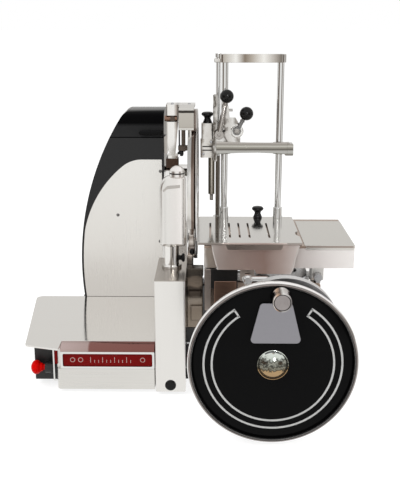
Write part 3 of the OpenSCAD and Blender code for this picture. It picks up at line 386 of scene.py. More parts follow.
@dataclass(frozen=True)
class Turned(Finish):
    """Metal turned on a lathe, with fine rings round an axis through a given place."""

    centre: tuple[float, float, float] = (0.0, 0.0, 0.0)
    across: tuple[float, float, float] = (1.0, 0.0, 1.0)
    pitch: float = 1.4 * MM
    relief: float = 0.05
    span: tuple[float, float] = (0.0, 1.0)
    tones: tuple[tuple[float, Color], ...] = ()
    metallic: float = 1.0

    def sockets(self, graph: Graph) -> dict:
        """Rings come from the distance to the axis, and so does the row of tones if there is one.

        Args:
            graph: The graph that the nodes go in.

        Returns:
            What each socket of the surface shader gets, by its name.
        """
        place = self.coordinates(graph)
        flat = graph.vector("MULTIPLY", graph.vector("SUBTRACT", place, self.centre), self.across)
        radius = graph.length(flat)
        rings = graph.value("ShaderNodeTexNoise", 0, {"noise_dimensions": "1D"},
                            {"W": radius, "Scale": 1.0 / self.pitch, "Detail": 3.0})
        smudges = graph.noise(place, LATHE_SMUDGES)
        rough = self.roughness + (rings - 0.5) * 0.1 + (smudges - 0.5) * 0.06
        if self.tones:
            color = graph.bands(graph.along(radius, self.span), self.tones)
        else:
            color = graph.mottled(rings, self.color, 0.9, 1.08)
        return {"Base Color": color, "Metallic": self.metallic, "Roughness": rough,
                "Normal": graph.bump(rings, self.relief, METAL_DEPTH)}


@dataclass(frozen=True)
class Enamel(Finish):
    """Sprayed and baked enamel with the faint waviness of a sprayed coat."""

    specular: float = 0.3
    peel: float = 0.012

    def sockets(self, graph: Graph) -> dict:
        """Waves give relief, and a fine haze varies colour and roughness.

        Args:
            graph: The graph that the nodes go in.

        Returns:
            What each socket of the surface shader gets, by its name.
        """
        place = self.coordinates(graph)
        waves = graph.noise(place, WAVES, 2.0)
        haze = graph.noise(place, HAZE, 4.0)
        rough = self.roughness + (haze - 0.5) * 0.08
        return {"Base Color": graph.mottled(haze, self.color, 0.85, 1.2), "Roughness": rough,
                "Specular IOR Level": self.specular, "Normal": graph.bump(waves, self.peel, ENAMEL_DEPTH)}


@dataclass(frozen=True)
class Banded(Enamel):
    """Gloss enamel with a painted reflection: its lower part is painted lighter than its upper part, as if it
    mirrored a brighter piece of the room.
    """

    span: tuple[float, float] = (0.0, 1.0)
    tones: tuple[tuple[float, Color], ...] = ()

    def sockets(self, graph: Graph) -> dict:
        """The tones lie between the two heights of the span.

        Args:
            graph: The graph that the nodes go in.

        Returns:
            What each socket of the surface shader gets, by its name.
        """
        filled = super().sockets(graph)
        along = graph.along(graph.split(self.coordinates(graph))[2], self.span)
        filled["Base Color"] = graph.bands(along, self.tones)
        return filled


@dataclass(frozen=True)
class Moulded(Finish):
    """Moulded plastic or rubber with a fine surface grain."""

    grain_size: float = 0.9 * MM
    relief: float = 0.06
    specular: float = 0.5

    def sockets(self, graph: Graph) -> dict:
        """Grain gives relief, and a slow mottle varies colour and roughness.

        Args:
            graph: The graph that the nodes go in.

        Returns:
            What each socket of the surface shader gets, by its name.
        """
        place = self.coordinates(graph)
        grain = graph.noise(place, 1.0 / self.grain_size)
        mottle = graph.noise(place, MOTTLE)
        rough = self.roughness + (mottle - 0.5) * 0.12
        return {"Base Color": graph.mottled(mottle, self.color, 0.85, 1.18), "Roughness": rough,
                "Specular IOR Level": self.specular, "Normal": graph.bump(grain, self.relief, MOULDED_DEPTH)}


GLOSS_BLACK = Enamel("gloss black enamel", (0.006, 0.006, 0.0065), 0.14, specular=0.38)
WHEEL_BLACK = Enamel("deep black enamel", (0.0032, 0.0032, 0.0034), 0.12, specular=0.05)
SATIN_BLACK = Enamel("satin black enamel", (0.016, 0.016, 0.017), 0.42, specular=0.25, peel=0.05)
LABEL_RED = Enamel("dark red enamel", (0.19, 0.0055, 0.0055), 0.28, specular=0.05)
POLISHED = Metal(
    "mirror polished stainless", (0.81, 0.795, 0.77), 0.10, Grain.ALONG_X, streak=0.05, smudge=0.05,
    tint=0.03, relief=0.008)
POLISHED_Y = Metal(
    "lengthways polished stainless", (0.67, 0.655, 0.63), 0.12, Grain.ALONG_Y, streak=0.05, smudge=0.05,
    tint=0.03, relief=0.008)
BRUSHED = Metal(
    "brushed stainless", (0.73, 0.715, 0.685), 0.30, Grain.ALONG_X, streak=0.16, smudge=0.05, tint=0.06,
    relief=0.05)
# Darker towards the bottom and lighter towards the top: painted shade on the upright panel.
BRUSHED_UP = Mirrored(
    "upright brushed stainless", (0.8, 0.785, 0.76), 0.26, Grain.ALONG_Z, streak=0.08, smudge=0.05,
    tint=0.04, relief=0.014, span=(98.0 * MM, 419.0 * MM), tones=(
        (0.0, (0.74, 0.712, 0.68)), (0.5, (0.79, 0.77, 0.737)), (1.0, (0.835, 0.82, 0.79))))
CHROME = Metal(
    "bright chrome", (0.75, 0.75, 0.74), 0.06, Grain.ALL_WAYS, streak=0.02, smudge=0.04, tint=0.01,
    relief=0.004)
PALE_CHROME = Metal(
    "pale polished chrome", (0.79, 0.775, 0.75), 0.26, Grain.ALL_WAYS, streak=0.04, smudge=0.05,
    tint=0.01, relief=0.004)
# Darkened brown-grey steel: painted shade, and on the bed front a painted brown reflection.
SHADED = Metal(
    "polished steel in shade", (0.42, 0.325, 0.265), 0.2, Grain.ALONG_X, streak=0.06, smudge=0.06,
    tint=0.05, relief=0.02)
MACHINED = Metal(
    "machined steel", (0.50, 0.50, 0.51), 0.28, Grain.ALL_WAYS, streak=0.14, smudge=0.08, tint=0.1,
    relief=0.04)
CAST_GREY = Metal(
    "satin cast aluminium", (0.31, 0.305, 0.33), 0.42, Grain.ALL_WAYS, streak=0.12, smudge=0.1, tint=0.05,
    relief=0.06)
CASE_GREY = Metal(
    "satin case grey", (0.76, 0.755, 0.76), 0.4, Grain.ALL_WAYS, streak=0.12, smudge=0.1, tint=0.05,
    relief=0.05)
BRONZE = Metal(
    "bearing bronze", (0.55, 0.38, 0.16), 0.3, Grain.ALL_WAYS, streak=0.1, smudge=0.1, tint=0.1,
    relief=0.05)
GREY_ARM = Metal(
    "grey satin steel", (0.42, 0.395, 0.37), 0.2, Grain.ALL_WAYS, streak=0.06, smudge=0.06, tint=0.06,
    relief=0.02)
DARK_ARM = Metal(
    "dark satin steel", (0.20, 0.195, 0.19), 0.28, Grain.ALL_WAYS, streak=0.1, smudge=0.08, tint=0.06,
    relief=0.03)
# A flat brown steel colour.
BROWN_STEEL = Metal(
    "plain brown steel", (0.27, 0.165, 0.12), 0.3, Grain.ALONG_X, streak=0.1, smudge=0.1, tint=0.15,
    relief=0.05)
# Dark brown for the blocks of painted shade on the sharpener.
SHADE_BROWN = Metal(
    "brown steel of painted shade", (0.075, 0.048, 0.036), 0.3, Grain.ALL_WAYS, streak=0.1, smudge=0.1, tint=0.2,
    relief=0.05)
BLACKED = Metal(
    "blacked steel", (0.045, 0.043, 0.042), 0.32, Grain.ALL_WAYS, streak=0.1, smudge=0.1, tint=0.1,
    relief=0.05)
# The pale and dark red-brown tones along the strip are painted reflections.
TRIM = Mirrored(
    "polished edge strip", (0.50, 0.38, 0.36), 0.16, Grain.ALONG_X, streak=0.05, smudge=0.05, tint=0.05,
    relief=0.01, axis=0, span=(-239.5 * MM, -51.5 * MM), tones=(
        (0.0, (0.49, 0.385, 0.365)), (0.29, (0.41, 0.31, 0.29)), (0.31, (0.225, 0.10, 0.087)),
        (1.0, (0.21, 0.09, 0.078))))
# The tan, dark and pale bands up the dome are painted reflections of floor and room.
HUB = Mirrored(
    "polished hub dome", (0.80, 0.79, 0.72), 0.07, Grain.ALL_WAYS, streak=0.02, smudge=0.03, tint=0.02,
    relief=0.0, span=(130.0 * MM, 184.0 * MM), wobble=0.34, wobble_scale=230.0, tones=(
        (0.0, (0.36, 0.24, 0.13)), (0.36, (0.44, 0.30, 0.16)), (0.41, (0.05, 0.043, 0.03)),
        (0.49, (0.26, 0.25, 0.20)), (0.56, (0.035, 0.035, 0.03)), (0.63, (0.34, 0.34, 0.29)),
        (0.71, (0.07, 0.07, 0.06)), (0.80, (0.62, 0.66, 0.60)), (1.0, (0.70, 0.73, 0.69))))
# The pale and dark brown bands across the ring are painted reflections; the dark band stands for the mirrored
# black housing.
GUARD_RING = Mirrored(
    "polished guard ring", (0.8, 0.79, 0.77), 0.12, Grain.ALL_WAYS, streak=0.03, smudge=0.04, tint=0.02,
    relief=0.004, axis=0, span=(13.5 * MM, 35.5 * MM), wobble=0.08, wobble_scale=9.0, metallic=0.5,
    tones=(
        (0.0, (0.92, 0.905, 0.875)), (0.14, (0.90, 0.885, 0.85)), (0.18, (0.25, 0.185, 0.15)),
        (0.32, (0.22, 0.155, 0.12)), (0.60, (0.27, 0.215, 0.18)), (0.70, (0.62, 0.59, 0.56)),
        (0.80, (0.84, 0.825, 0.80)), (1.0, (0.88, 0.87, 0.85))))
# The pale and dark bands across the sharpener are painted reflections.
SHARPENER = Mirrored(
    "polished sharpener", (0.8, 0.79, 0.77), 0.12, Grain.ALL_WAYS, streak=0.03, smudge=0.04, tint=0.02,
    relief=0.004, axis=0, span=(-40.0 * MM, -8.0 * MM), wobble=0.1, tones=(
        (0.0, (0.42, 0.39, 0.36)), (0.12, (0.84, 0.82, 0.79)), (0.52, (0.86, 0.845, 0.82)),
        (0.68, (0.46, 0.41, 0.37)), (0.80, (0.10, 0.085, 0.075)), (0.92, (0.60, 0.57, 0.53)),
        (1.0, (0.70, 0.68, 0.65))))
# The dark and light brown bands up the mount are painted reflections.
MOUNT = Mirrored(
    "polished ring mount", (0.8, 0.79, 0.77), 0.14, Grain.ALL_WAYS, streak=0.03, smudge=0.04, tint=0.02,
    relief=0.004, span=(196.0 * MM, 298.0 * MM), wobble=0.12, tones=(
        (0.0, (0.30, 0.25, 0.21)), (0.3, (0.62, 0.57, 0.52)), (0.52, (0.16, 0.13, 0.11)),
        (0.62, (0.56, 0.49, 0.43)), (0.74, (0.14, 0.11, 0.095)), (0.84, (0.66, 0.61, 0.56)),
        (0.94, (0.26, 0.215, 0.185)), (1.0, (0.60, 0.56, 0.52))))
# The dark band near the top is painted shade, and the pale strip low on the hood is a painted reflection.
HOOD = Mirrored(
    "satin hood steel", (0.51, 0.48, 0.43), 0.3, Grain.ALONG_X, streak=0.06, smudge=0.06, tint=0.05,
    relief=0.02, span=(499.0 * MM, 545.0 * MM), wobble=0.03, tones=(
        (0.0, (0.72, 0.70, 0.66)), (0.09, (0.70, 0.68, 0.64)), (0.12, (0.42, 0.385, 0.34)),
        (0.16, (0.52, 0.49, 0.44)), (0.78, (0.56, 0.53, 0.48)), (0.80, (0.05, 0.045, 0.04)),
        (0.89, (0.05, 0.045, 0.04)), (0.91, (0.66, 0.64, 0.61)), (1.0, (0.70, 0.68, 0.65))))
# The bright and dark bands up the bar and its face plate are painted reflections.
CLAMP_BAR = Mirrored(
    "polished clamp bar", (0.8, 0.79, 0.77), 0.14, Grain.ALONG_X, streak=0.05, smudge=0.05, tint=0.02,
    relief=0.006, span=(444.0 * MM, 471.0 * MM), wobble=0.04, wobble_scale=25.0, tones=(
        (0.0, (0.24, 0.224, 0.2)), (0.12, (0.456, 0.452, 0.424)), (0.22, (0.488, 0.48, 0.456)),
        (0.32, (0.32, 0.304, 0.28)), (0.38, (0.096, 0.088, 0.076)), (0.46, (0.248, 0.232, 0.204)),
        (0.55, (0.36, 0.34, 0.296)), (0.66, (0.584, 0.568, 0.52)), (0.74, (0.32, 0.3, 0.264)),
        (0.86, (0.384, 0.356, 0.328)), (0.95, (0.504, 0.472, 0.44)), (1.0, (0.608, 0.584, 0.56))))
# The dark brown tone and the light bands across the sleeve are painted reflections.
SLEEVE = Mirrored(
    "sleeve with painted reflections", (0.3, 0.26, 0.22), 0.16, Grain.ALONG_Z, streak=0.04, smudge=0.05, tint=0.05,
    relief=0.01, axis=0, span=(53.5 * MM, 67.5 * MM), tones=(
        (0.0, (0.10, 0.09, 0.07)), (0.26, (0.08, 0.07, 0.05)), (0.42, (0.36, 0.33, 0.28)),
        (0.56, (0.62, 0.58, 0.51)), (0.68, (0.24, 0.21, 0.17)), (0.80, (0.065, 0.055, 0.036)),
        (0.92, (0.11, 0.10, 0.075)), (1.0, (0.46, 0.44, 0.40))))
# The light and dark bands across the casting are painted reflections.
CLAMP_BODY = Mirrored(
    "polished clamp casting", (0.8, 0.79, 0.77), 0.16, Grain.ALL_WAYS, streak=0.05, smudge=0.05,
    tint=0.02, relief=0.006, axis=0, span=(36.0 * MM, 124.0 * MM), wobble=0.3, tones=(
        (0.0, (0.30, 0.265, 0.23)), (0.12, (0.72, 0.70, 0.67)), (0.24, (0.62, 0.595, 0.56)),
        (0.32, (0.09, 0.075, 0.06)), (0.40, (0.62, 0.60, 0.57)), (0.52, (0.74, 0.725, 0.70)),
        (0.60, (0.12, 0.10, 0.085)), (0.66, (0.60, 0.575, 0.545)), (0.80, (0.74, 0.725, 0.70)),
        (0.90, (0.30, 0.275, 0.25)), (1.0, (0.60, 0.58, 0.555))))
# The white, brown-grey and dark bands along the strap are painted reflections.
STRAP = Mirrored(
    "polished strap", (0.8, 0.79, 0.77), 0.16, Grain.ALONG_X, streak=0.05, smudge=0.05, tint=0.02,
    relief=0.006, axis=0, span=(65.0 * MM, 220.0 * MM), tones=(
        (0.0, (0.78, 0.765, 0.74)), (0.14, (0.50, 0.46, 0.41)), (0.30, (0.90, 0.885, 0.85)),
        (0.42, (0.26, 0.21, 0.165)), (0.52, (0.48, 0.43, 0.375)), (0.68, (0.90, 0.88, 0.84)),
        (0.84, (0.46, 0.42, 0.38)), (0.92, (0.20, 0.175, 0.15)), (1.0, (0.84, 0.825, 0.80))))
# The warm brown tones across the apron are painted reflections of a warm room.
APRON = Mirrored(
    "satin stainless with painted warm reflections", (0.74, 0.60, 0.545), 0.3, Grain.ALONG_Z, streak=0.04, smudge=0.08, tint=0.06,
    relief=0.006, axis=0, span=(60.5 * MM, 236.5 * MM), wobble=0.12, wobble_scale=30.0, metallic=0.7,
    tones=(
        (0.0, (0.72, 0.63, 0.585)), (0.2, (0.58, 0.455, 0.405)), (0.42, (0.45, 0.33, 0.29)),
        (0.6, (0.39, 0.27, 0.232)), (0.8, (0.60, 0.485, 0.44)), (1.0, (0.82, 0.745, 0.71))))
# The dark brown left end is painted shade, and the warm tones along the skirt are painted reflections.
SKIRT = Mirrored(
    "satin skirt with painted shade and warm reflections", (0.74, 0.66, 0.62), 0.3, Grain.ALONG_X, streak=0.04, smudge=0.08, tint=0.06,
    relief=0.006, axis=0, span=(46.5 * MM, 344.5 * MM), wobble=0.05, wobble_scale=30.0, metallic=0.6,
    tones=(
        (0.0, (0.60, 0.55, 0.51)), (0.02, (0.36, 0.30, 0.25)), (0.10, (0.44, 0.365, 0.31)),
        (0.6, (0.60, 0.54, 0.51)), (0.66, (0.70, 0.645, 0.62)), (1.0, (0.90, 0.865, 0.845))))
COVER = Metal(
    "satin cover", (0.66, 0.64, 0.605), 0.24, Grain.ALONG_X, streak=0.05, smudge=0.05, tint=0.02,
    relief=0.008)
# The brown tones and dark bands up the bracket are painted shade and painted reflections.
BRACKET = Mirrored(
    "bracket with painted shade and reflections", (0.3, 0.26, 0.22), 0.24, Grain.ALL_WAYS, streak=0.06, smudge=0.06, tint=0.05,
    relief=0.02, span=(112.0 * MM, 238.0 * MM), wobble=0.12, metallic=0.75, tones=(
        (0.0, (0.30, 0.25, 0.20)), (0.30, (0.26, 0.21, 0.165)), (0.45, (0.34, 0.29, 0.24)),
        (0.55, (0.07, 0.053, 0.04)), (0.66, (0.09, 0.07, 0.055)), (0.70, (0.28, 0.22, 0.17)),
        (0.84, (0.20, 0.16, 0.125)), (0.88, (0.06, 0.05, 0.04)), (1.0, (0.09, 0.075, 0.06))))
# The dark and light bands across the thin post are painted reflections.
THIN_POST_REFLECTIONS = Mirrored(
    "thin post with painted reflections", (0.3, 0.26, 0.22), 0.14, Grain.ALONG_Z, streak=0.04, smudge=0.05, tint=0.05,
    relief=0.01, axis=0, span=(69.4 * MM, 79.6 * MM), tones=(
        (0.0, (0.09, 0.075, 0.06)), (0.3, (0.28, 0.24, 0.20)), (0.55, (0.07, 0.058, 0.046)),
        (0.8, (0.34, 0.31, 0.28)), (1.0, (0.10, 0.09, 0.08))))
# The lighter left edge and the bands across the guard are painted highlight and painted shade.
GUARD_SHELL = Mirrored(
    "pale polished guard", (0.79, 0.775, 0.75), 0.26, Grain.ALL_WAYS, streak=0.04, smudge=0.05, tint=0.01,
    relief=0.004, axis=0, span=(-42.5 * MM, 3.5 * MM), wobble=0.04, tones=(
        (0.0, (0.66, 0.645, 0.62)), (0.10, (0.82, 0.805, 0.78)), (0.24, (0.74, 0.725, 0.70)),
        (0.32, (0.80, 0.785, 0.76)), (0.7, (0.83, 0.80, 0.775)), (0.93, (0.92, 0.885, 0.86)),
        (1.0, (0.74, 0.71, 0.68))))
# The pale and dark bands across the post are painted reflections.
GUARD_POST = Mirrored(
    "polished guard post", (0.79, 0.775, 0.75), 0.16, Grain.ALL_WAYS, streak=0.04, smudge=0.05, tint=0.01,
    relief=0.004, axis=0, span=(-35.5 * MM, -3.5 * MM), wobble=0.03, tones=(
        (0.0, (0.40, 0.38, 0.35)), (0.14, (0.84, 0.825, 0.80)), (0.40, (0.86, 0.845, 0.82)),
        (0.48, (0.20, 0.175, 0.15)), (0.55, (0.56, 0.535, 0.50)), (0.66, (0.80, 0.785, 0.76)),
        (0.80, (0.70, 0.68, 0.65)), (0.88, (0.13, 0.115, 0.10)), (1.0, (0.50, 0.475, 0.44))))
# A darker grey for the strip of painted shade under the guard's bend.
FOLD_SHADE = Metal(
    "shaded fold", (0.52, 0.49, 0.46), 0.3, Grain.ALL_WAYS, streak=0.06, smudge=0.06, tint=0.02,
    relief=0.01)
# A dark brown-grey for strips of painted shade: the apron's lip and lines under edges.
SHADE_STRIP = Metal(
    "shaded lip", (0.39, 0.33, 0.295), 0.3, Grain.ALONG_X, streak=0.1, smudge=0.08, tint=0.1, relief=0.02)
# The dark band at the very top is painted shade on the column's top face.
COLUMN = Mirrored(
    "upright brushed column", (0.93, 0.915, 0.885), 0.24, Grain.ALONG_Z, streak=0.12, smudge=0.05,
    tint=0.04, relief=0.03, span=(8.0 * MM, 241.0 * MM), tones=(
        (0.0, (0.80, 0.785, 0.76)), (0.985, (0.82, 0.805, 0.78)), (0.991, (0.46, 0.42, 0.38)),
        (1.0, (0.44, 0.405, 0.37))))
BLADE_RINGS = Turned(
    "turned blade steel", (0.74, 0.735, 0.72), 0.14, centre=tuple(spot(0.0, 150.0, 363.0)),
    across=(0.0, 1.0, 1.0))
# The dark and bright rings over the rim's radius are painted reflections, with a painted highlight at the
# outer edge.
WHEEL_RINGS = Turned(
    "turned wheel chrome", (0.80, 0.80, 0.80), 0.08, centre=tuple(spot(156.0, 0.0, 157.0)),
    pitch=2.4 * MM, relief=0.015, span=(139.0 * MM, 147.2 * MM), metallic=0.8, tones=(
        (0.0, (0.02, 0.02, 0.02)), (0.12, (0.46, 0.44, 0.43)), (0.24, (0.03, 0.03, 0.03)),
        (0.42, (0.09, 0.075, 0.07)), (0.52, (0.42, 0.37, 0.345)), (0.64, (0.05, 0.05, 0.05)),
        (0.74, (0.46, 0.43, 0.415)), (0.84, (0.90, 0.88, 0.865)), (1.0, (0.97, 0.96, 0.95))))
GRIP_RINGS = Turned(
    "turned grip steel", (0.35, 0.32, 0.315), 0.24, centre=tuple(spot(166.0, 0.0, 282.0)), pitch=1.2 * MM,
    relief=0.08)
# The pale, warm brown and dark bands across the barrel are painted reflections.
GRIP_BARREL = Mirrored(
    "polished grip barrel", (0.7, 0.68, 0.66), 0.12, Grain.ALL_WAYS, streak=0.03, smudge=0.04, tint=0.02,
    relief=0.004, axis=0, span=(159.5 * MM, 193.5 * MM), tones=(
        (0.0, (0.10, 0.075, 0.06)), (0.10, (0.75, 0.70, 0.66)), (0.24, (0.62, 0.42, 0.30)),
        (0.40, (0.16, 0.12, 0.10)), (0.52, (0.74, 0.72, 0.70)), (0.8, (0.50, 0.47, 0.46)),
        (1.0, (0.16, 0.15, 0.15))))
RUBBER = Moulded("moulded rubber", (0.02, 0.02, 0.02), 0.7, relief=0.12)
PHENOLIC = Moulded("glossy black phenolic", (0.005, 0.0045, 0.0045), 0.13, relief=0.01, specular=0.22)
TEXTURED = Moulded("textured black plastic", (0.012, 0.012, 0.012), 0.48, relief=0.2)
STOP_RED = Moulded("glossy red plastic", (0.62, 0.002, 0.001), 0.3, relief=0.01, specular=0.05)
STRIPE = Moulded("pale line paint", (0.50, 0.50, 0.49), 0.45, relief=0.02)
# A pale colour for painted highlights along the apron's curved edges.
EDGE_HIGHLIGHT = Moulded("painted edge highlight", (0.60, 0.56, 0.53), 0.4, relief=0.02)
LINES = Moulded("pale label lines", (0.60, 0.42, 0.39), 0.45, relief=0.02)
STONE = Moulded("sharpening stone", (0.10, 0.075, 0.06), 0.7, relief=0.3)
# The grey band low on the lid is a painted reflection; above and below it the lid stays black.
LID_BLACK = Banded(
    "black lid enamel", (0.002, 0.002, 0.0022), 0.1, specular=0.02, span=(470.0 * MM, 545.0 * MM),
    tones=(
        (0.0, (0.002, 0.002, 0.0022)), (0.05, (0.002, 0.002, 0.0022)), (0.06, (0.027, 0.027, 0.0275)),
        (0.36, (0.024, 0.024, 0.0245)), (0.46, (0.002, 0.002, 0.0022)), (1.0, (0.002, 0.002, 0.0022))))
HANDLE_BLACK = Enamel("black handle enamel", (0.002, 0.002, 0.0022), 0.1, specular=0.1)

SLOT_FINISH: dict[str, Finish] = {
    "gloss_black": GLOSS_BLACK,
    "satin_black": SATIN_BLACK,
    "polished_steel": POLISHED,
    "brushed_steel": BRUSHED,
    "chrome": CHROME,
    "machined_steel": MACHINED,
    "cast_grey": CAST_GREY,
    "bronze": BRONZE,
    "black_rubber": RUBBER,
    "black_plastic": PHENOLIC,
    "matte_black": TEXTURED,
    "stop_red": STOP_RED,
    "label_red": LABEL_RED,
}
NODE_FINISH: dict[str, Finish] = {
    "slide_column": COLUMN,
    "sharpening_stones": STONE,
    "meat_table": POLISHED_Y,
    "flywheel": WHEEL_BLACK,
    "flywheel_rim": WHEEL_RINGS,
    "hub_cap": HUB,
    "blade": BLADE_RINGS,
    "blade_guard": GUARD_RING,
    "sharpener": SHARPENER,
    "clamp_bar": CLAMP_BAR,
    "clamp_blocks": CLAMP_BODY,
    "apron": APRON,
    "carriage_skirt": SKIRT,
    "carriage_deck": SHADED,
    "carriage_cover": COVER,
    "bed_front_plate": SHADED,
    "gear_case": CASE_GREY,
    "guide_blocks": BRUSHED,
    "front_trim": TRIM,
    "housing_lid": LID_BLACK,
    "lid_handle": HANDLE_BLACK,
}


class Bench:
    """Models pieces with Blender's operators, as by hand."""

    @staticmethod
    def clear_selection() -> None:
        """Deselects everything in object mode."""
        if bpy.context.mode != "OBJECT":
            bpy.ops.object.mode_set(mode="OBJECT")
        bpy.ops.object.select_all(action="DESELECT")

    @staticmethod
    def pick(piece: bpy.types.Object) -> None:
        """Makes one object the only selected and the active one.

        Args:
            piece: The object.
        """
        Bench.clear_selection()
        piece.select_set(True)
        bpy.context.view_layer.objects.active = piece

    @staticmethod
    def one_vertex(name: str, at: Vector) -> bpy.types.Object:
        """Starts a piece from a plane drawn together into one vertex, and stays in edit mode.

        Args:
            name: The new piece's name.
            at: Where the vertex lies.

        Returns:
            The new object, in edit mode.
        """
        Bench.clear_selection()
        bpy.ops.mesh.primitive_plane_add(size=MM)
        piece = bpy.context.active_object
        piece.name = name
        bpy.ops.object.mode_set(mode="EDIT")
        bpy.ops.mesh.select_all(action="SELECT")
        bpy.ops.mesh.merge(type="CENTER")
        bpy.ops.transform.translate(value=at)
        return piece

    @staticmethod
    def draw_line(points: Sequence[Vector]) -> None:
        """Extrudes the selected vertex along a row of points, the first of which it lies on."""
        for before, after in zip(points, points[1:]):
            bpy.ops.mesh.extrude_vertices_move(TRANSFORM_OT_translate={"value": after - before})

    @staticmethod
    def close_up() -> None:
        """Merges doubles, points the faces outwards and leaves edit mode."""
        bpy.ops.mesh.select_all(action="SELECT")
        bpy.ops.mesh.remove_doubles(threshold=DOUBLES)
        bpy.ops.mesh.normals_make_consistent(inside=False)
        bpy.ops.object.mode_set(mode="OBJECT")

    @staticmethod
    def settle(piece: bpy.types.Object, place: Matrix) -> None:
        """Moves a piece to its place and applies that to its mesh.

        Args:
            piece: The object.
            place: Its place, turn and size.
        """
        piece.matrix_world = place
        Bench.pick(piece)
        bpy.ops.object.transform_apply(location=True, rotation=True, scale=True)

    @staticmethod
    def turned(name: str, profile: Profile, at: Vector, along: Vector, steps: int) -> bpy.types.Object:
        """A piece of revolution.

        Args:
            name: The piece's name.
            profile: Radius and height pairs, in metres, from the axis out and back to it.
            at: Where the profile's zero height lies on the axis.
            along: The direction of growing height.
            steps: Faces round the turn.

        Returns:
            The finished object.
        """
        points = [Vector((radius, 0.0, height)) for radius, height in profile]
        piece = Bench.one_vertex(name, points[0])
        Bench.draw_line(points)
        bpy.ops.mesh.select_all(action="SELECT")
        bpy.ops.mesh.spin(steps=steps, angle=2 * math.pi, center=(0, 0, 0), axis=(0, 0, 1))
        Bench.close_up()
        Bench.settle(piece, Matrix.Translation(at) @ along.to_track_quat("Z", "Y").to_matrix().to_4x4())
        return piece

    @staticmethod
    def swept_bar(name: str, section: Sequence[Vector], angle: float, centre: Vector,
                  steps: int) -> bpy.types.Object:
        """A bar swept round the Y axis through a centre.

        Args:
            name: The piece's name.
            section: Corners of the bar's section at its start.
            angle: Angle of the sweep, in radians.
            centre: A point on the axis.
            steps: Faces along the sweep.

        Returns:
            The finished object.
        """
        piece = Bench.one_vertex(name, section[0])
        Bench.draw_line(section)
        bpy.ops.mesh.select_all(action="SELECT")
        bpy.ops.mesh.edge_face_add()
        bpy.ops.mesh.spin(steps=steps, angle=angle, center=centre, axis=(0, 1, 0))
        Bench.close_up()
        return piece

    @staticmethod
    def plate(name: str, outline: Sequence[Vector], push: Vector) -> bpy.types.Object:
        """A flat outline pushed to a thickness.

        Args:
            name: The piece's name.
            outline: Corners of the outline, in order.
            push: Direction and length of the push.

        Returns:
            The finished object.
        """
        piece = Bench.one_vertex(name, outline[0])
        Bench.draw_line(outline)
        bpy.ops.mesh.select_all(action="SELECT")
        bpy.ops.mesh.edge_face_add()
        bpy.ops.mesh.extrude_region_move(TRANSFORM_OT_translate={"value": push})
        Bench.close_up()
        return piece

    @staticmethod
    def block(name: str, low: Vector, high: Vector) -> bpy.types.Object:
        """A block between two corners, ready for its edges to be rounded.

        Args:
            name: The piece's name.
            low: One corner.
            high: The opposite corner.

        Returns:
            The new object.
        """
        Bench.clear_selection()
        bpy.ops.mesh.primitive_cube_add(size=1.0)
        piece = bpy.context.active_object
        piece.name = name
        size = high - low
        Bench.settle(piece, Matrix.Translation((low + high) / 2) @ Matrix.Diagonal((*size, 1.0)))
        return piece

    @staticmethod
    def rounded(piece: bpy.types.Object, width: float = 0.0, segments: int = 3,
                angle: float = 35.0) -> bpy.types.Object:
        """Rounds a piece's sharp edges and smooths its curved faces.

        Args:
            piece: The object to finish.
            width: Width of the rounding, or 0 for none.
            segments: Faces across the rounding.
            angle: Edges sharper than this many degrees are rounded.

        Returns:
            The same object.
        """
        Bench.pick(piece)
        bpy.ops.object.shade_smooth_by_angle(angle=math.radians(angle))
        if width > 0.0:
            bevel = piece.modifiers.new("edges", "BEVEL")
            bevel.width = width
            bevel.segments = segments
            bevel.limit_method = "ANGLE"
            bevel.angle_limit = math.radians(angle)
            bevel.harden_normals = True
            bevel.use_clamp_overlap = True
            bpy.ops.object.modifier_apply(modifier=bevel.name)
        return piece

    @staticmethod
    def joined(name: str, pieces: Sequence[bpy.types.Object]) -> bpy.types.Object:
        """Joins several objects into the first, under a new name.

        Args:
            name: The new name.
            pieces: The objects.

        Returns:
            The first object, which now holds all.
        """
        Bench.pick(pieces[0])
        for piece in pieces[1:]:
            piece.select_set(True)
        if len(pieces) > 1:
            bpy.ops.object.join()
        pieces[0].name = name
        return pieces[0]

    @staticmethod
    def copied(piece: bpy.types.Object, name: str, move: Vector) -> bpy.types.Object:
        """A copy with its own mesh, moved.

        Args:
            piece: The object to copy.
            name: The copy's name.
            move: How far the copy is moved.

        Returns:
            The copy.
        """
        twin = bpy.data.objects.new(name, piece.data.copy())
        bpy.context.scene.collection.objects.link(twin)
        Bench.settle(twin, Matrix.Translation(move))
        return twin

    @staticmethod
    def from_node(node: bpy.types.Object, name: str) -> bpy.types.Object:
        """A copy of a CAD node with its loose triangles merged into whole faces.

        Args:
            node: The CAD node.
            name: The new piece's name.

        Returns:
            The new object.
        """
        piece = bpy.data.objects.new(name, node.data.copy())
        bpy.context.scene.collection.objects.link(piece)
        Bench.pick(piece)
        bpy.ops.object.mode_set(mode="EDIT")
        bpy.ops.mesh.select_all(action="SELECT")
        bpy.ops.mesh.remove_doubles(threshold=CAD_DOUBLES)
        bpy.ops.mesh.dissolve_limited(angle_limit=math.radians(0.2))
        bpy.ops.object.mode_set(mode="OBJECT")
        bpy.ops.mesh.customdata_custom_splitnormals_clear()
        return piece


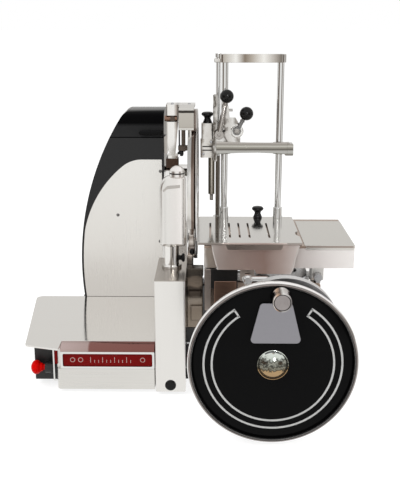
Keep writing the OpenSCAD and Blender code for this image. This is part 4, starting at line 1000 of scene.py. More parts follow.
class Slicer:
    """The loaded frame, and the ways in which pieces join it."""

    def __init__(self, frame: dict) -> None:
        """Keeps the frame's nodes, and each node's material slot and body.
        """
        self.nodes: dict[str, bpy.types.Object] = frame["nodes"]
        record = frame["record"]
        self.slots = {part["node"]: part["material_slot"] for part in record["subparts"]}
        self.bodies = {node: body for body, members in record["behaviour"]["bodies"].items()
                       for node in members}

    def finish_of(self, node: str) -> Finish:
        """The finish that a CAD node takes."""
        return NODE_FINISH.get(node) or SLOT_FINISH[self.slots[node]]

    def paint(self, piece: bpy.types.Object, finish: Finish) -> None:
        """Gives a piece one finish all over."""
        piece.data.materials.clear()
        piece.data.materials.append(finish.material())

    def dress(self, node: str, rounding: float) -> None:
        """Stands a rounded and finished copy in for a CAD node.

        Args:
            node: The CAD node's name.
            rounding: Width of the edge rounding, in millimetres.
        """
        piece = Bench.from_node(self.nodes[node], f"{node}_finished")
        Bench.rounded(piece, rounding * MM, 2)
        self.paint(piece, self.finish_of(node))
        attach(piece, self.bodies[node])
        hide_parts(node)
        LOG.info("%s stands for %s", piece.name, node)

    def add(self, piece: bpy.types.Object, body: str, finish: Finish, slot: str) -> bpy.types.Object:
        """Adds a new piece to a body.

        Args:
            piece: The new object.
            body: The body that it rides on.
            finish: Its finish.
            slot: The record's material slot that it belongs to; not used.

        Returns:
            The same object.
        """
        self.paint(piece, finish)
        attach(piece, body)
        LOG.info("%s rides on %s", piece.name, body)
        return piece

    def turn(self, name: str, profile: Profile, at: Vector, along: Vector, steps: int, body: str,
             finish: Finish, slot: str) -> bpy.types.Object:
        """Adds a smooth piece of revolution.

        Args:
            name: The piece's name.
            profile: Radius and height pairs, in millimetres.
            at: Where the profile's zero height lies on the axis.
            along: The direction of growing height.
            steps: Faces round the turn.
            body: The body that it rides on.
            finish: Its finish.
            slot: The record's material slot that it belongs to.

        Returns:
            The new piece.
        """
        piece = Bench.turned(name, metres(profile), at, along, steps)
        return self.add(Bench.rounded(piece), body, finish, slot)

    def stack(self, name: str, boxes: Boxes, rounding: float, body: str, finish: Finish, slot: str,
              segments: int = 3) -> bpy.types.Object:
        """Adds a piece made of one or more rounded blocks.

        Args:
            name: The piece's name.
            boxes: Two opposite corners of each block, in the drawing's millimetres.
            rounding: Width of the edge rounding, in millimetres.
            body: The body that it rides on.
            finish: Its finish.
            slot: The record's material slot that it belongs to.
            segments: Faces across the rounding.

        Returns:
            The new piece.
        """
        blocks = [Bench.rounded(Bench.block(name, spot(*low), spot(*high)), rounding * MM, segments)
                  for low, high in boxes]
        return self.add(Bench.joined(name, blocks), body, finish, slot)


@dataclass
class PlainNodes:
    """CAD nodes whose own form is right: they get rounded edges, in millimetres, and a finish."""

    rounding: dict[str, float] = field(default_factory=lambda: {
        "base_housing": 1.5, "base_plate": 0.4, "rubber_feet": 0.5, "front_panel": 0.8,
        "label_plate": 0.4, "label_frame": 0.6, "front_trim": 0.6, "receiving_plate": 0.8,
        "slide_column": 1.2, "column_plug": 0.4, "bed_walls": 0.8, "bed_front_plate": 0.8, "rails": 0.3,
        "gear_case": 1.2, "shaft_bearings": 0.4, "bearing_bridge": 0.6, "belt_case": 0.8,
        "belt_case_cover": 0.4, "drive_housing": 3.0, "blade_guard": 0.8, "sharpener": 0.6,
        "sharpening_stones": 0.4, "guard_knob": 0.0, "switch_box": 0.8, "stop_collar": 0.6,
        "housing_lid": 4.0, "lid_handle": 0.4, "flywheel": 0.6, "flywheel_rim": 0.5, "hub_cap": 0.4,
        "crank_plate": 0.8, "cross_shaft": 0.0, "drive_pulley": 0.4, "crank_shaft": 0.0,
        "crank_disc": 0.5, "flywheel_shaft": 0.0, "blade": 0.15, "blade_spindle": 0.3,
        "carriage_deck": 0.5, "carriage_skirt": 0.6, "carriage_cover": 0.3, "guide_blocks": 0.5,
        "connecting_rod": 0.5, "meat_table": 0.5, "table_knob": 0.0, "apron": 0.4, "posts": 0.6,
        "feed_screw": 0.5, "feed_lever": 0.5, "clamp_bar": 0.6, "clamp_blocks": 0.6, "clamp_knob": 0.0,
        "stop_button": 0.0, "drive_belt": 0.3,
    })

    def build(self, slicer: Slicer) -> None:
        """Dresses every node of the list."""
        for node, width in self.rounding.items():
            slicer.dress(node, width)


@dataclass
class SidePanel:
    """The brushed panel on the housing's front, whose shoulder runs smoothly into its top edge."""

    right: float = -61.0
    top: float = 424.0
    front: float = 119.5
    thickness: float = 2.5
    long_curve: tuple[float, float, float] = (391.0, 178.0, 635.0)
    shoulder: tuple[float, float, float] = (14.0, 209.0, 258.0)
    fillet: float = 70.0
    fillet_steps: int = 12
    steps: int = 44
    let_in: float = 0.6

    def left(self, z: float) -> float:
        """The left edge's place at a height: the long curve, or the shoulder where that is further in."""
        curves = [self.long_curve] if z < self.shoulder[1] else [self.long_curve, self.shoulder]
        return max(x - math.sqrt(radius ** 2 - (z - middle) ** 2) for x, middle, radius in curves)

    def outline(self, bottom: float) -> list[Vector]:
        """The panel's corners, from its lower right corner round to its upper right one.

        Args:
            bottom: Height of the lower edge, in the drawing's millimetres.

        Returns:
            The corners.
        """
        x, z, radius = self.shoulder
        rise = self.top - self.fillet - z
        run = math.sqrt((radius - self.fillet) ** 2 - rise ** 2)
        turn = math.pi - math.atan2(rise, run)
        meet = z + radius * math.sin(turn)
        heights = [bottom + (meet - bottom) * i / self.steps for i in range(self.steps)]
        edge = [(self.left(height), height) for height in heights]
        for i in range(self.fillet_steps + 1):
            angle = turn + (math.pi / 2 - turn) * i / self.fillet_steps
            edge.append((x - run + self.fillet * math.cos(angle), z + rise + self.fillet * math.sin(angle)))
        return [spot(px, self.front, pz) for px, pz in [(self.right, bottom), *edge, (self.right, self.top)]]

    def build(self, slicer: Slicer) -> None:
        """Cuts the panel in place of the plain one, with its lower edge let into the plate under it.

        Args:
            slicer: The slicer that the pieces join.
        """
        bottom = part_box("side_panel")[0].z / MM - self.let_in
        panel = Bench.plate("side_panel_finished", self.outline(bottom), BACK * (self.thickness * MM))
        slicer.add(Bench.rounded(panel, 0.5 * MM, 2), "frame", BRUSHED_UP, slicer.slots["side_panel"])
        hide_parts("side_panel")


@dataclass
class WheelTrim:
    """Line inlays on the flywheel's face."""

    outer_line: float = 118.5 * MM
    inner_line: float = 104.5 * MM
    line_width: float = 3.4 * MM
    line_rise: float = 0.3 * MM
    gap_from: float = 58.0
    gap_to: float = 123.5
    arc_steps: int = 150

    def bar(self, name: str, centre: Vector, low: float, high: float, start: float,
            sweep: float) -> bpy.types.Object:
        """One arc of line on the wheel's face, between two radii.

        Args:
            name: The piece's name.
            centre: Middle of the wheel's face.
            low: Inner radius.
            high: Outer radius.
            start: Start angle in degrees, from +X towards +Z.
            sweep: Angle of the arc in degrees, from +X towards +Z.

        Returns:
            The arc.
        """
        angle = math.radians(start)
        out = Vector((math.cos(angle), 0.0, math.sin(angle)))
        rise = Vector((0.0, -self.line_rise, 0.0))
        inner, outer = centre + out * low, centre + out * high
        section = [inner, outer, outer + rise, inner + rise]
        steps = max(2, int(self.arc_steps * sweep / 360))
        return Bench.swept_bar(name, section, math.radians(sweep), centre, steps)

    def build(self, slicer: Slicer) -> None:
        """Lays the two lines with their closed ends.

        Args:
            slicer: The slicer that the pieces join.
        """
        low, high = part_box("flywheel")
        centre = (low + high) / 2
        centre.y = low.y
        half = self.line_width / 2
        sweep = 360.0 - (self.gap_to - self.gap_from)
        end = math.degrees(self.line_width / self.outer_line)
        arcs = [self.bar("line", centre, radius - half, radius + half, self.gap_to, sweep)
                for radius in (self.outer_line, self.inner_line)]
        arcs += [self.bar("line", centre, self.inner_line, self.outer_line, at, end)
                 for at in (self.gap_to, self.gap_to + sweep - end)]
        lines = Bench.joined("wheel_lines", arcs)
        slicer.add(Bench.rounded(lines), "flywheel", STRIPE, "chrome")


@dataclass
class CrankGrip:
    """The turning grip: a chrome barrel whose end face has turned rings and a groove darkened by a black ring
    of painted shade.
    """

    groove: float = 1.8
    bore: float = 7.06
    rim: float = 1.6
    gap: float = 1.5
    rings: int = 5

    def build(self, slicer: Slicer) -> None:
        """Turns the barrel in place of the plain one, from profiles in millimetres.

        Args:
            slicer: The slicer that the pieces join.
        """
        low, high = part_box("crank_grip")
        centre = (low + high) / 2
        collar = (high.x - low.x) / 2 / MM
        end = (high.y - low.y) / MM
        radius = collar - 1.0
        edge = radius - self.rim
        inner = edge - self.gap
        floor = end - self.groove
        barrel = [(self.bore, end - 9.2), (self.bore, 0.0), (collar - 0.6, 0.0), (collar, 0.6), (collar, 3.2),
                  (radius + 0.4, 5.0), (radius, 6.0), (radius, end - 5.0), (radius - 0.5, end - 4.4),
                  (radius - 0.5, end - 3.6), (radius, end - 3.0), (radius, end - 1.2),
                  (radius - 0.5, end - 0.3), (radius - 1.2, end - 0.1), (edge, end - 0.1), (edge, floor),
                  (0.0, floor)]
        face = [(0.0, floor), (inner, floor), (inner, end - 0.5), (inner - 0.4, end - 0.1)]
        step = (inner - 0.4) / self.rings
        for ring in reversed(range(self.rings)):
            at = ring * step
            face += [(at + 0.9, end - 0.1), (at + 0.6, end - 0.45), (at, end - 0.45)]
        # The black ring in the groove is painted shade.
        dark = [(inner, floor), (edge, floor), (edge, end - 0.5), (inner, end - 0.5), (inner, floor)]
        back = Vector((centre.x, high.y, centre.z))
        for name, profile, finish, slot in (("grip_barrel", barrel, GRIP_BARREL, "chrome"),
                                            ("grip_face", face, GRIP_RINGS, "chrome"),
                                            ("grip_groove_shade", dark, BLACKED, "matte_black")):
            piece = Bench.rounded(Bench.turned(name, metres(profile), back, FRONT, 72), angle=30.0)
            slicer.add(piece, "grip", finish, slot)
            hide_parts("crank_grip")


@dataclass
class BallLever:
    """A clamp lever: a steel hub on its pivot, a tapered arm and a black ball."""

    node: str
    pivot: Vector
    hub: tuple[float, float]
    arm: tuple[float, float]
    finish: Finish
    ball_radius: float = 14.5 * MM
    pin_radius: float = 4.06 * MM

    def build(self, slicer: Slicer) -> None:
        """Turns hub, arm and ball in place of the plain lever.

        Args:
            slicer: The slicer that the pieces join.
        """
        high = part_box(self.node)[1]
        top = max((vertex.co for vertex in slicer.nodes[self.node].data.vertices), key=lambda co: co.z)
        centre = Vector((top.x, self.pivot.y, high.z - self.ball_radius))
        reach = centre - self.pivot
        pieces = [self.hub_piece(), self.arm_piece(reach)]
        arm = Bench.rounded(Bench.joined(f"{self.node}_arm", pieces))
        slicer.add(arm, self.node, self.finish, "chrome")
        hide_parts(self.node)
        slicer.add(self.ball(centre, reach.normalized()), self.node, PHENOLIC, "black_plastic")

    def hub_piece(self) -> bpy.types.Object:
        """The hub, a disc with rounded rims and a bore for the pivot pin.

        Returns:
            The hub.
        """
        radius, width = self.hub
        edge = 0.8 * MM
        profile = [(self.pin_radius, 0.0), (radius - edge, 0.0), (radius, edge), (radius, width - edge),
                   (radius - edge, width), (self.pin_radius, width), (self.pin_radius, 0.0)]
        return Bench.turned("hub", profile, self.pivot - FRONT * (width / 2), FRONT, 48)

    def arm_piece(self, reach: Vector) -> bpy.types.Object:
        """The tapered arm with a ferrule under the ball.

        Args:
            reach: From the pivot to the ball's middle.

        Returns:
            The arm.
        """
        thick, thin = self.arm
        start = 7.0 * MM
        end = reach.length - 0.8 * self.ball_radius
        collar = end - 6.0 * MM
        ferrule = thin + 1.2 * MM
        profile = [(0.0, start), (thick, start), (thin + 0.2 * (thick - thin), collar - 3.0 * MM),
                   (thin, collar - 2.0 * MM), (ferrule, collar - 1.4 * MM), (ferrule, collar + 1.0 * MM),
                   (thin, collar + 1.6 * MM), (thin, end), (0.0, end)]
        return Bench.turned("arm", profile, self.pivot, reach.normalized(), 40)

    def ball(self, centre: Vector, along: Vector) -> bpy.types.Object:
        """A moulded ball with a flat where the arm enters.

        Args:
            centre: The ball's middle.
            along: The direction of the arm.

        Returns:
            The ball.
        """
        radius = self.ball_radius
        profile = [(0.0, -radius * 0.96), (radius * 0.28, -radius * 0.96)]
        profile += [*arc(radius, radius, range(-72, 90, 6)), (0.0, radius)]
        return Bench.rounded(Bench.turned(f"{self.node}_ball", profile, centre, along, 48), angle=40.0)


@dataclass
class Screws:
    """A group of equal low-domed screws on one body, with radius and rise in millimetres."""

    name: str
    body: str
    along: Vector
    places: Sequence[Vector]
    radius: float = 3.6
    rise: float = 1.5
    finish: Finish = MACHINED
    slot: str = "machined_steel"

    def build(self, slicer: Slicer) -> None:
        """Turns one screw with a socket, copies it to each place and joins the group.

        Args:
            slicer: The slicer that the pieces join.
        """
        shape = ((0.0, 0.0), (1.0, 0.0), (1.0, 0.3), (0.9, 0.65), (0.62, 0.93), (0.42, 1.0), (0.40, 0.3),
                 (0.0, 0.3))
        profile = metres([(self.radius * wide, self.rise * high) for wide, high in shape])
        first = self.places[0]
        screw = Bench.turned(f"{self.name}_1", profile, first, self.along, 28)
        twins = [Bench.copied(screw, f"{self.name}_{i}", place - first)
                 for i, place in enumerate(self.places[1:], 2)]
        group = Bench.rounded(Bench.joined(self.name, [screw, *twins]))
        slicer.add(group, self.body, self.finish, self.slot)


@dataclass
class Fasteners:
    """Screws, bolts and caps that the drawing leaves out."""

    flange_at: Vector = field(default_factory=lambda: spot(179.0, -338.0, 195.0))
    flange_bolts: float = 88.0 * MM

    @staticmethod
    def row(y: float, places: Profile) -> list[Vector]:
        """Places at one depth in metres, with the frame's x and z in millimetres."""
        return [Vector((x * MM, y, z * MM)) for x, z in places]

    def build(self, slicer: Slicer) -> None:
        """Sets every group of screws.

        Args:
            slicer: The slicer that the pieces join.
        """
        panel = self.row(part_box("side_panel")[0].y, ((-54.0, 397.5), (-151.7, 297.0), (-56.4, 235.4)))
        bed = self.row(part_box("bed_front_plate")[0].y,
                       [(x, z) for x in (66.0, 268.0) for z in (112.0, 212.0)])
        ring = [self.flange_at + Vector((x, 0.0, z))
                for x, z in arc(self.flange_bolts, self.flange_bolts, range(-20, 141, 40))]
        hinge, lid = (self.row(spot(0.0, 274.0, 0.0).y, [(x, z) for x in (-79.5, -59.5, -139.5, -119.5)])
                      for z in (451.0, 484.0))
        under = [spot(x, y, 8.0) for x in (-232.0, 15.0, 266.0) for y in (-118.0, 92.0, 304.0)]
        posts = [spot(x, 84.0, 654.2) for x in (78.0, 197.0)]
        block = [spot(32.0, 72.0, 444.0), spot(49.0, 72.0, 470.0)]
        hood = [spot(-38.0, 140.0, 545.0), spot(-38.0, 160.0, 545.0), spot(0.0, 150.0, 545.0)]
        black = (BLACKED, "matte_black")
        for group in (
                Screws("panel_screws", "frame", FRONT, panel, finish=DARK_ARM),
                Screws("bed_plate_screws", "frame", FRONT, bed),
                Screws("flange_bolts", "frame", BACK, ring, 5.5, 4.0),
                Screws("hinge_screws", "frame", BACK, hinge, 2.6, 1.0),
                Screws("lid_hinge_screws", "lid", BACK, lid, 2.6, 1.0),
                Screws("underside_screws", "frame", -UP, under, 4.0, 1.6),
                Screws("post_caps", "table", UP, posts, 5.6, 1.7, CHROME, "chrome"),
                Screws("wedge_screw", "clamp", FRONT, [spot(76.9, 66.0, 494.9)], 2.6, 0.8, *black),
                Screws("block_screws", "clamp", FRONT, block, 3.0, 1.0),
                Screws("clamp_lever_cap", "clamp", FRONT, [spot(66.0, 48.0, 488.0)], 3.8, 1.2, GREY_ARM),
                Screws("lock_lever_cap", "clamp", FRONT, [spot(104.0, 52.0, 496.0)], 5.6, 1.6, GREY_ARM),
                Screws("guard_screw", "frame", FRONT, [spot(-31.0, -117.4, 276.0)], 3.2, 0.8, *black),
                Screws("sharpener_screws", "frame", UP, hood, 3.4, 1.4)):
            group.build(slicer)


@dataclass
class SharpenerParts:
    """The brown pin, thin rod, small knob, dark blocks of painted shade and hood of the blade sharpener."""

    y: float = 134.0
    z: float = 514.0
    knob_z: float = 437.0

    def build(self, slicer: Slicer) -> None:
        """Turns the three round pieces and stacks the shades and the hood.

        Args:
            slicer: The slicer that the pieces join.
        """
        pin = [(0.0, 0.0), (5.8, 0.0), (6.4, 0.6), (6.4, 19.0), (4.6, 19.6), (4.6, 22.0), (6.4, 22.6),
               (6.4, 27.4), (0.0, 28.0)]
        knob = [(0.0, 0.0), (3.0, 0.0), (3.0, 5.0), (6.4, 5.6), (7.0, 6.6), (7.0, 11.0), (6.0, 12.4),
                (3.0, 13.4), (0.0, 13.6)]
        length = self.z - self.knob_z - 8.0
        rod = [(0.0, 0.0), (1.7, 0.0), (1.7, length), (0.0, length)]
        front = self.y - 3.0
        slicer.turn("sharpener_pin", pin, spot(-54.5, self.y, self.z), RIGHT, 32, "frame", BROWN_STEEL,
                    "machined_steel")
        slicer.turn("sharpener_rod", rod, spot(-22.0, front, self.knob_z), UP, 32, "frame", BLACKED,
                    "matte_black")
        slicer.turn("sharpener_knob", knob, spot(-26.0, front, self.knob_z), RIGHT, 32, "frame", PHENOLIC,
                    "black_plastic")
        # Dark blocks of painted shade on and under the sharpener.
        shades = (((-50.0, 140.5, 507.4), (-27.0, 142.4, 520.6)),
                  ((-52.0, 124.0, 404.0), (-24.0, 150.0, 425.4)))
        slicer.stack("sharpener_shades", shades, 0.6, "frame", SHADE_BROWN, "machined_steel")
        hood = (((-20.0, 43.0, 499.0), (12.5, 46.0, 541.0)), ((-20.0, 43.0, 540.6), (12.5, 128.0, 544.8)),
                ((-20.0, 46.0, 499.0), (-17.6, 124.0, 541.0)))
        slicer.stack("sharpener_hood", hood, 0.8, "frame", HOOD, "polished_steel")


@dataclass
class EdgeGuard:
    """The knuckle guard on the column: a smooth shell with a darker strip of painted shade under its bend and
    a domed head, on a round post.
    """

    column: float = -30.0
    y: float = -105.0
    thickness: float = 18.0
    head: float = 15.0
    head_x: float = -18.0
    shade_strip_rise: float = 0.25
    steps: int = 56

    def shell(self) -> bpy.types.Object:
        """The shell, round at its upper left.

        Returns:
            The shell.
        """
        outline = [(-53.0, 284.0), (-1.0, 284.0), (-1.0, 428.0), (-34.0, 428.0)]
        outline += [(x - 34.0, z + 398.0) for x, z in arc(19.0, 30.0, range(100, 181, 10))]
        front = self.y - self.thickness / 2
        shell = Bench.plate("shell", [spot(x, front, z) for x, z in outline], BACK * (self.thickness * MM))
        return Bench.rounded(shell, 7.0 * MM, 6, 50.0)

    def dome(self) -> bpy.types.Object:
        """The head on the shell's top.

        Returns:
            The head.
        """
        profile = [(0.0, 0.0), (15.4, 0.0), (15.4, 3.0), (self.head, 4.6), (self.head, 9.0)]
        profile += [(x, z + 9.0) for x, z in arc(self.head, 12.0, range(9, 90, 9))]
        profile += [(0.0, 21.0)]
        at = spot(self.head_x, self.y, 427.0)
        return Bench.rounded(Bench.turned("head", metres(profile), at, UP, self.steps))

    def build(self, slicer: Slicer) -> None:
        """Makes shell, head and post in place of the plain guard.

        Args:
            slicer: The slicer that the pieces join.
        """
        guard = Bench.joined("edge_guard_shell", [self.shell(), self.dome()])
        slicer.add(guard, "frame", GUARD_SHELL, "chrome")
        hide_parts("edge_guard")
        post = [(0.0, 0.0), (19.6, 0.0), (20.0, 0.5), (20.0, 5.0), (19.0, 6.0), (15.6, 6.4), (14.6, 7.4),
                (14.6, 46.0), (0.0, 46.0)]
        slicer.turn("guard_post", post, spot(self.column, self.y, 240.0), UP, self.steps, "frame", GUARD_POST,
                    "chrome")
        line = [(14.6, 0.0), (15.15, 0.0), (15.15, 2.6), (14.6, 2.6), (14.6, 0.0)]
        slicer.turn("guard_line", line, spot(self.head_x, self.y, 432.0), UP, self.steps, "frame", BLACKED,
                    "matte_black")
        # A darker strip of painted shade laid on the shell under its bend.
        fold = ((-45.0, 396.0), (-38.0, 402.0), (-12.0, 405.0), (-12.0, 411.0), (-37.0, 409.0),
                (-46.5, 400.0))
        front = self.y - self.thickness / 2 - self.shade_strip_rise
        plate = Bench.plate("guard_fold_shade", [spot(x, front, z) for x, z in fold], BACK * MM)
        slicer.add(plate, "frame", FOLD_SHADE, "chrome")


@dataclass
class RingMount:
    """The bracket that carries the foot of the guard ring on the column."""

    mount: Boxes = (
        ((0.2, -78.0, 196.0), (13.0, -38.0, 258.0)), ((1.5, -74.0, 252.0), (17.0, -14.0, 274.0)),
        ((3.5, -66.0, 272.0), (15.5, -12.0, 297.0)))
    bracket: Boxes = (
        ((0.4, -104.0, 108.0), (33.0, -82.0, 222.0)), ((0.4, -110.0, 222.0), (34.4, -80.0, 238.0)),
        ((4.0, -112.0, 176.0), (30.0, -100.0, 190.0)), ((8.0, -110.0, 126.0), (33.0, -100.0, 158.0)))

    def build(self, slicer: Slicer) -> None:
        """Stacks the mount's and the bracket's blocks and adds the knob of the clamp screw.

        Args:
            slicer: The slicer that the pieces join.
        """
        slicer.stack("ring_mount", self.mount, 2.4, "frame", MOUNT, "machined_steel", 4)
        slicer.stack("ring_bracket", self.bracket, 2.0, "frame", BRACKET, "machined_steel", 4)
        knob = [(0.0, 0.0), (2.4, 0.0), (2.4, 3.0), (5.6, 3.6), (6.0, 4.4), (6.0, 9.4), (5.0, 10.6),
                (0.0, 11.0)]
        slicer.turn("ring_mount_knob", knob, spot(11.0, -66.0, 264.0), FRONT, 32, "frame", PHENOLIC,
                    "black_plastic")


@dataclass
class TopStrap:
    """The band that ties the tops of the posts together, a little taller than the posts."""

    def build(self, slicer: Slicer) -> None:
        """Bends a band with rounded ends round the posts.

        Args:
            slicer: The slicer that the pieces join.
        """
        outline = [spot(middle + x, 84.0 + y, 638.0) for middle, start in ((198.5, -90), (76.5, 90))
                   for x, y in arc(9.5, 9.5, range(start, start + 181, 12))]
        band = Bench.rounded(Bench.plate("strap_band", outline, UP * (17.4 * MM)), 0.8 * MM)
        ear = Bench.rounded(Bench.block("ear", spot(55.0, 80.0, 638.0), spot(82.0, 113.0, 646.0)), 2.0 * MM)
        strap = Bench.joined("strap_band", [band, ear])
        slicer.add(strap, "table", STRAP, "brushed_steel")
        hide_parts("top_strap")


@dataclass
class Inlays:
    """Thin strips, plates and sleeves: marks on the label, and details of clamp, table, base and carriage."""

    mark_rise: float = 0.25 * MM
    mark_line: float = 1.1 * MM
    mark_width: float = 1.0 * MM

    def on_label(self, x: float, z: float) -> Vector:
        """A place on the label's face, given in the drawing's millimetres."""
        return Vector((spot(x, 0.0, z).x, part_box("label_plate")[0].y, z * MM))

    def mark(self, x: float, z: float, height: float) -> bpy.types.Object:
        """One pale tick on the label, given by its middle.

        Args:
            x: Its place across.
            z: Its middle height.
            height: Its height, in millimetres.

        Returns:
            The tick.
        """
        half = Vector((self.mark_width / 2, 0.0, height / 2 * MM))
        middle = self.on_label(x, z)
        return Bench.rounded(Bench.block("mark", middle - half + FRONT * self.mark_rise, middle + half))

    def ring(self, x: float, z: float, radius: float) -> bpy.types.Object:
        """One pale ring on the label.

        Args:
            x: Its place across.
            z: Its middle height.
            radius: Its outer radius, in millimetres.

        Returns:
            The ring.
        """
        outer, inner, rise = radius * MM, radius * MM - self.mark_line, self.mark_rise
        profile = [(inner, 0.0), (outer, 0.0), (outer, rise), (inner, rise), (inner, 0.0)]
        return Bench.turned("mark", profile, self.on_label(x, z), FRONT, 32)

    def label(self, slicer: Slicer) -> None:
        """Three rings and a scale, with every third tick longer.

        Args:
            slicer: The slicer that the pieces join.
        """
        marks = [self.ring(x, 70.0, 5.0) for x in (-226.0, -210.0, -86.0)]
        for i in range(11):
            x = -190.0 + 8.0 * i
            marks.append(self.mark(x, 67.0, 6.0) if i % 3 else self.mark(x, 70.0, 12.0))
        slicer.add(Bench.joined("label_marks", marks), "frame", LINES, "chrome")

    def clamp(self, slicer: Slicer) -> None:
        """The clamp's slots, the hollow face of its bar, its hanging sleeve and its lock boss.

        Args:
            slicer: The slicer that the pieces join.
        """
        slots = [((30.0, 71.6, z), (51.0, 73.0, z + 2.6)) for z in (451.0, 459.0)]
        slicer.stack("clamp_block_slots", slots, 0.0, "clamp", BLACKED, "matte_black")
        face = ((60.0, 443.5), (80.0, 445.4), (110.0, 447.0), (150.0, 447.6), (190.0, 446.0), (213.8, 443.8),
                (213.8, 469.9), (170.0, 469.4), (130.0, 469.6), (90.0, 470.6), (60.0, 471.8))
        plate = Bench.plate("clamp_bar_face", [spot(x, 68.7, z) for x, z in face], BACK * (1.9 * MM))
        slicer.add(Bench.rounded(plate, 0.6 * MM), "clamp", CLAMP_BAR, "polished_steel")
        slicer.turn("hanging_sleeve", [(7.06, 0.0), (7.06, 81.0)], spot(50.0, 84.0, 354.6), UP, 40, "clamp",
                    SLEEVE, "polished_steel")
        boss = [(0.0, 0.0), (14.0, 0.0), (14.4, 0.4), (14.4, 3.0), (13.0, 3.4), (12.4, 4.0), (12.4, 6.3),
                (11.6, 6.9), (0.0, 6.9)]
        slicer.turn("lock_boss", boss, spot(104.0, 70.4, 494.0), FRONT, 48, "clamp", PALE_CHROME, "chrome")

    def table(self, slicer: Slicer) -> None:
        """The apron's lip of painted shade, its rims of painted highlight, and the sleeve of the thin post.

        Args:
            slicer: The slicer that the pieces join.
        """
        # The lip plate is painted shade in the apron's groove.
        lip = ((79.0, 298.6), (81.0, 290.6), (84.0, 287.6), (187.0, 287.6), (190.0, 290.6), (192.0, 298.6))
        plate = Bench.plate("apron_lip", [spot(x, -148.2, z) for x, z in lip], BACK * MM)
        slicer.add(Bench.rounded(plate, 0.2 * MM), "table", SHADE_STRIP, "polished_steel")
        # The pale rims are painted highlights along the apron's curved edges.
        rims = []
        for across, line in ((1.7, ((50.6, 298.0), (53.6, 280.0), (58.6, 260.0), (62.8, 246.4))),
                             (-1.7, ((225.4, 298.0), (217.2, 272.0), (212.2, 246.0), (207.2, 237.4)))):
            outline = [*line, *((x + across, z) for x, z in reversed(line))]
            rims.append(Bench.plate("rim", [spot(x, -145.4, z) for x, z in outline], BACK * (0.8 * MM)))
        slicer.add(Bench.joined("apron_rim_highlights", rims), "table", EDGE_HIGHLIGHT, "polished_steel")
        slicer.turn("thin_post_sleeve", [(5.05, 0.0), (5.05, 135.0)], spot(64.0, 104.0, 301.0), UP, 32,
                    "table", THIN_POST_REFLECTIONS, "polished_steel")

    def panel_corner(self, slicer: Slicer) -> None:
        """The bright corner of the front panel, with a rounding of its own on each strip.

        Args:
            slicer: The slicer that the pieces join.
        """
        strips = [Bench.rounded(Bench.block("corner", spot(*low), spot(*high)), rounding * MM)
                  for low, high, rounding in (((-266.0, -186.4, 90.0), (-250.2, -183.0, 99.6), 1.6),
                                              ((-266.0, -186.0, 26.0), (-262.6, -183.2, 92.0), 1.0),
                                              ((-266.0, -186.0, 24.0), (-256.0, -182.6, 28.0), 0.8))]
        slicer.add(Bench.joined("panel_corner", strips), "frame", CHROME, "chrome")

    def build(self, slicer: Slicer) -> None:
        """Lays the inlays and the single strips.

        Args:
            slicer: The slicer that the pieces join.
        """
        self.label(slicer)
        self.clamp(slicer)
        self.table(slicer)
        self.panel_corner(slicer)
        ledges = [((0.6, -139.4, z), (84.0, -137.0, z + 3.4)) for z in (86.5, 33.0)]
        slicer.stack("base_ledges", ledges, 0.8, "frame", MACHINED, "machined_steel")
        # The trim strip, the cover edge strip and the table edge take the painted shade colour; the cover
        # edge strip stands for the shade under the cover's front edge.
        for name, low, high, rounding, body, finish, slot in (
                ("rail_stop", (49.5, -143.6, 206.0), (103.0, -140.1, 246.6), 1.2,
                 "frame", BLACKED, "matte_black"),
                ("trim_window", (56.0, -144.2, 160.0), (101.0, -139.6, 222.0), 1.6,
                 "frame", BROWN_STEEL, "machined_steel"),
                ("trim_strip", (37.0, -143.8, 160.0), (49.5, -140.1, 246.6), 1.2,
                 "frame", SHADE_STRIP, "machined_steel"),
                ("cover_edge_shade", (238.0, -140.86, 290.6), (331.0, -140.2, 294.6), 0.1,
                 "carriage", SHADE_STRIP, "polished_steel"),
                ("table_edge", (24.0, -148.6, 297.8), (228.0, -138.8, 299.3), 0.3,
                 "table", SHADE_STRIP, "polished_steel"),
                ("label_side", (-263.0, -184.6, 60.0), (-256.4, -183.4, 90.4), 0.4,
                 "frame", LABEL_RED, "label_red")):
            slicer.stack(name, [(low, high)], rounding, body, finish, slot)


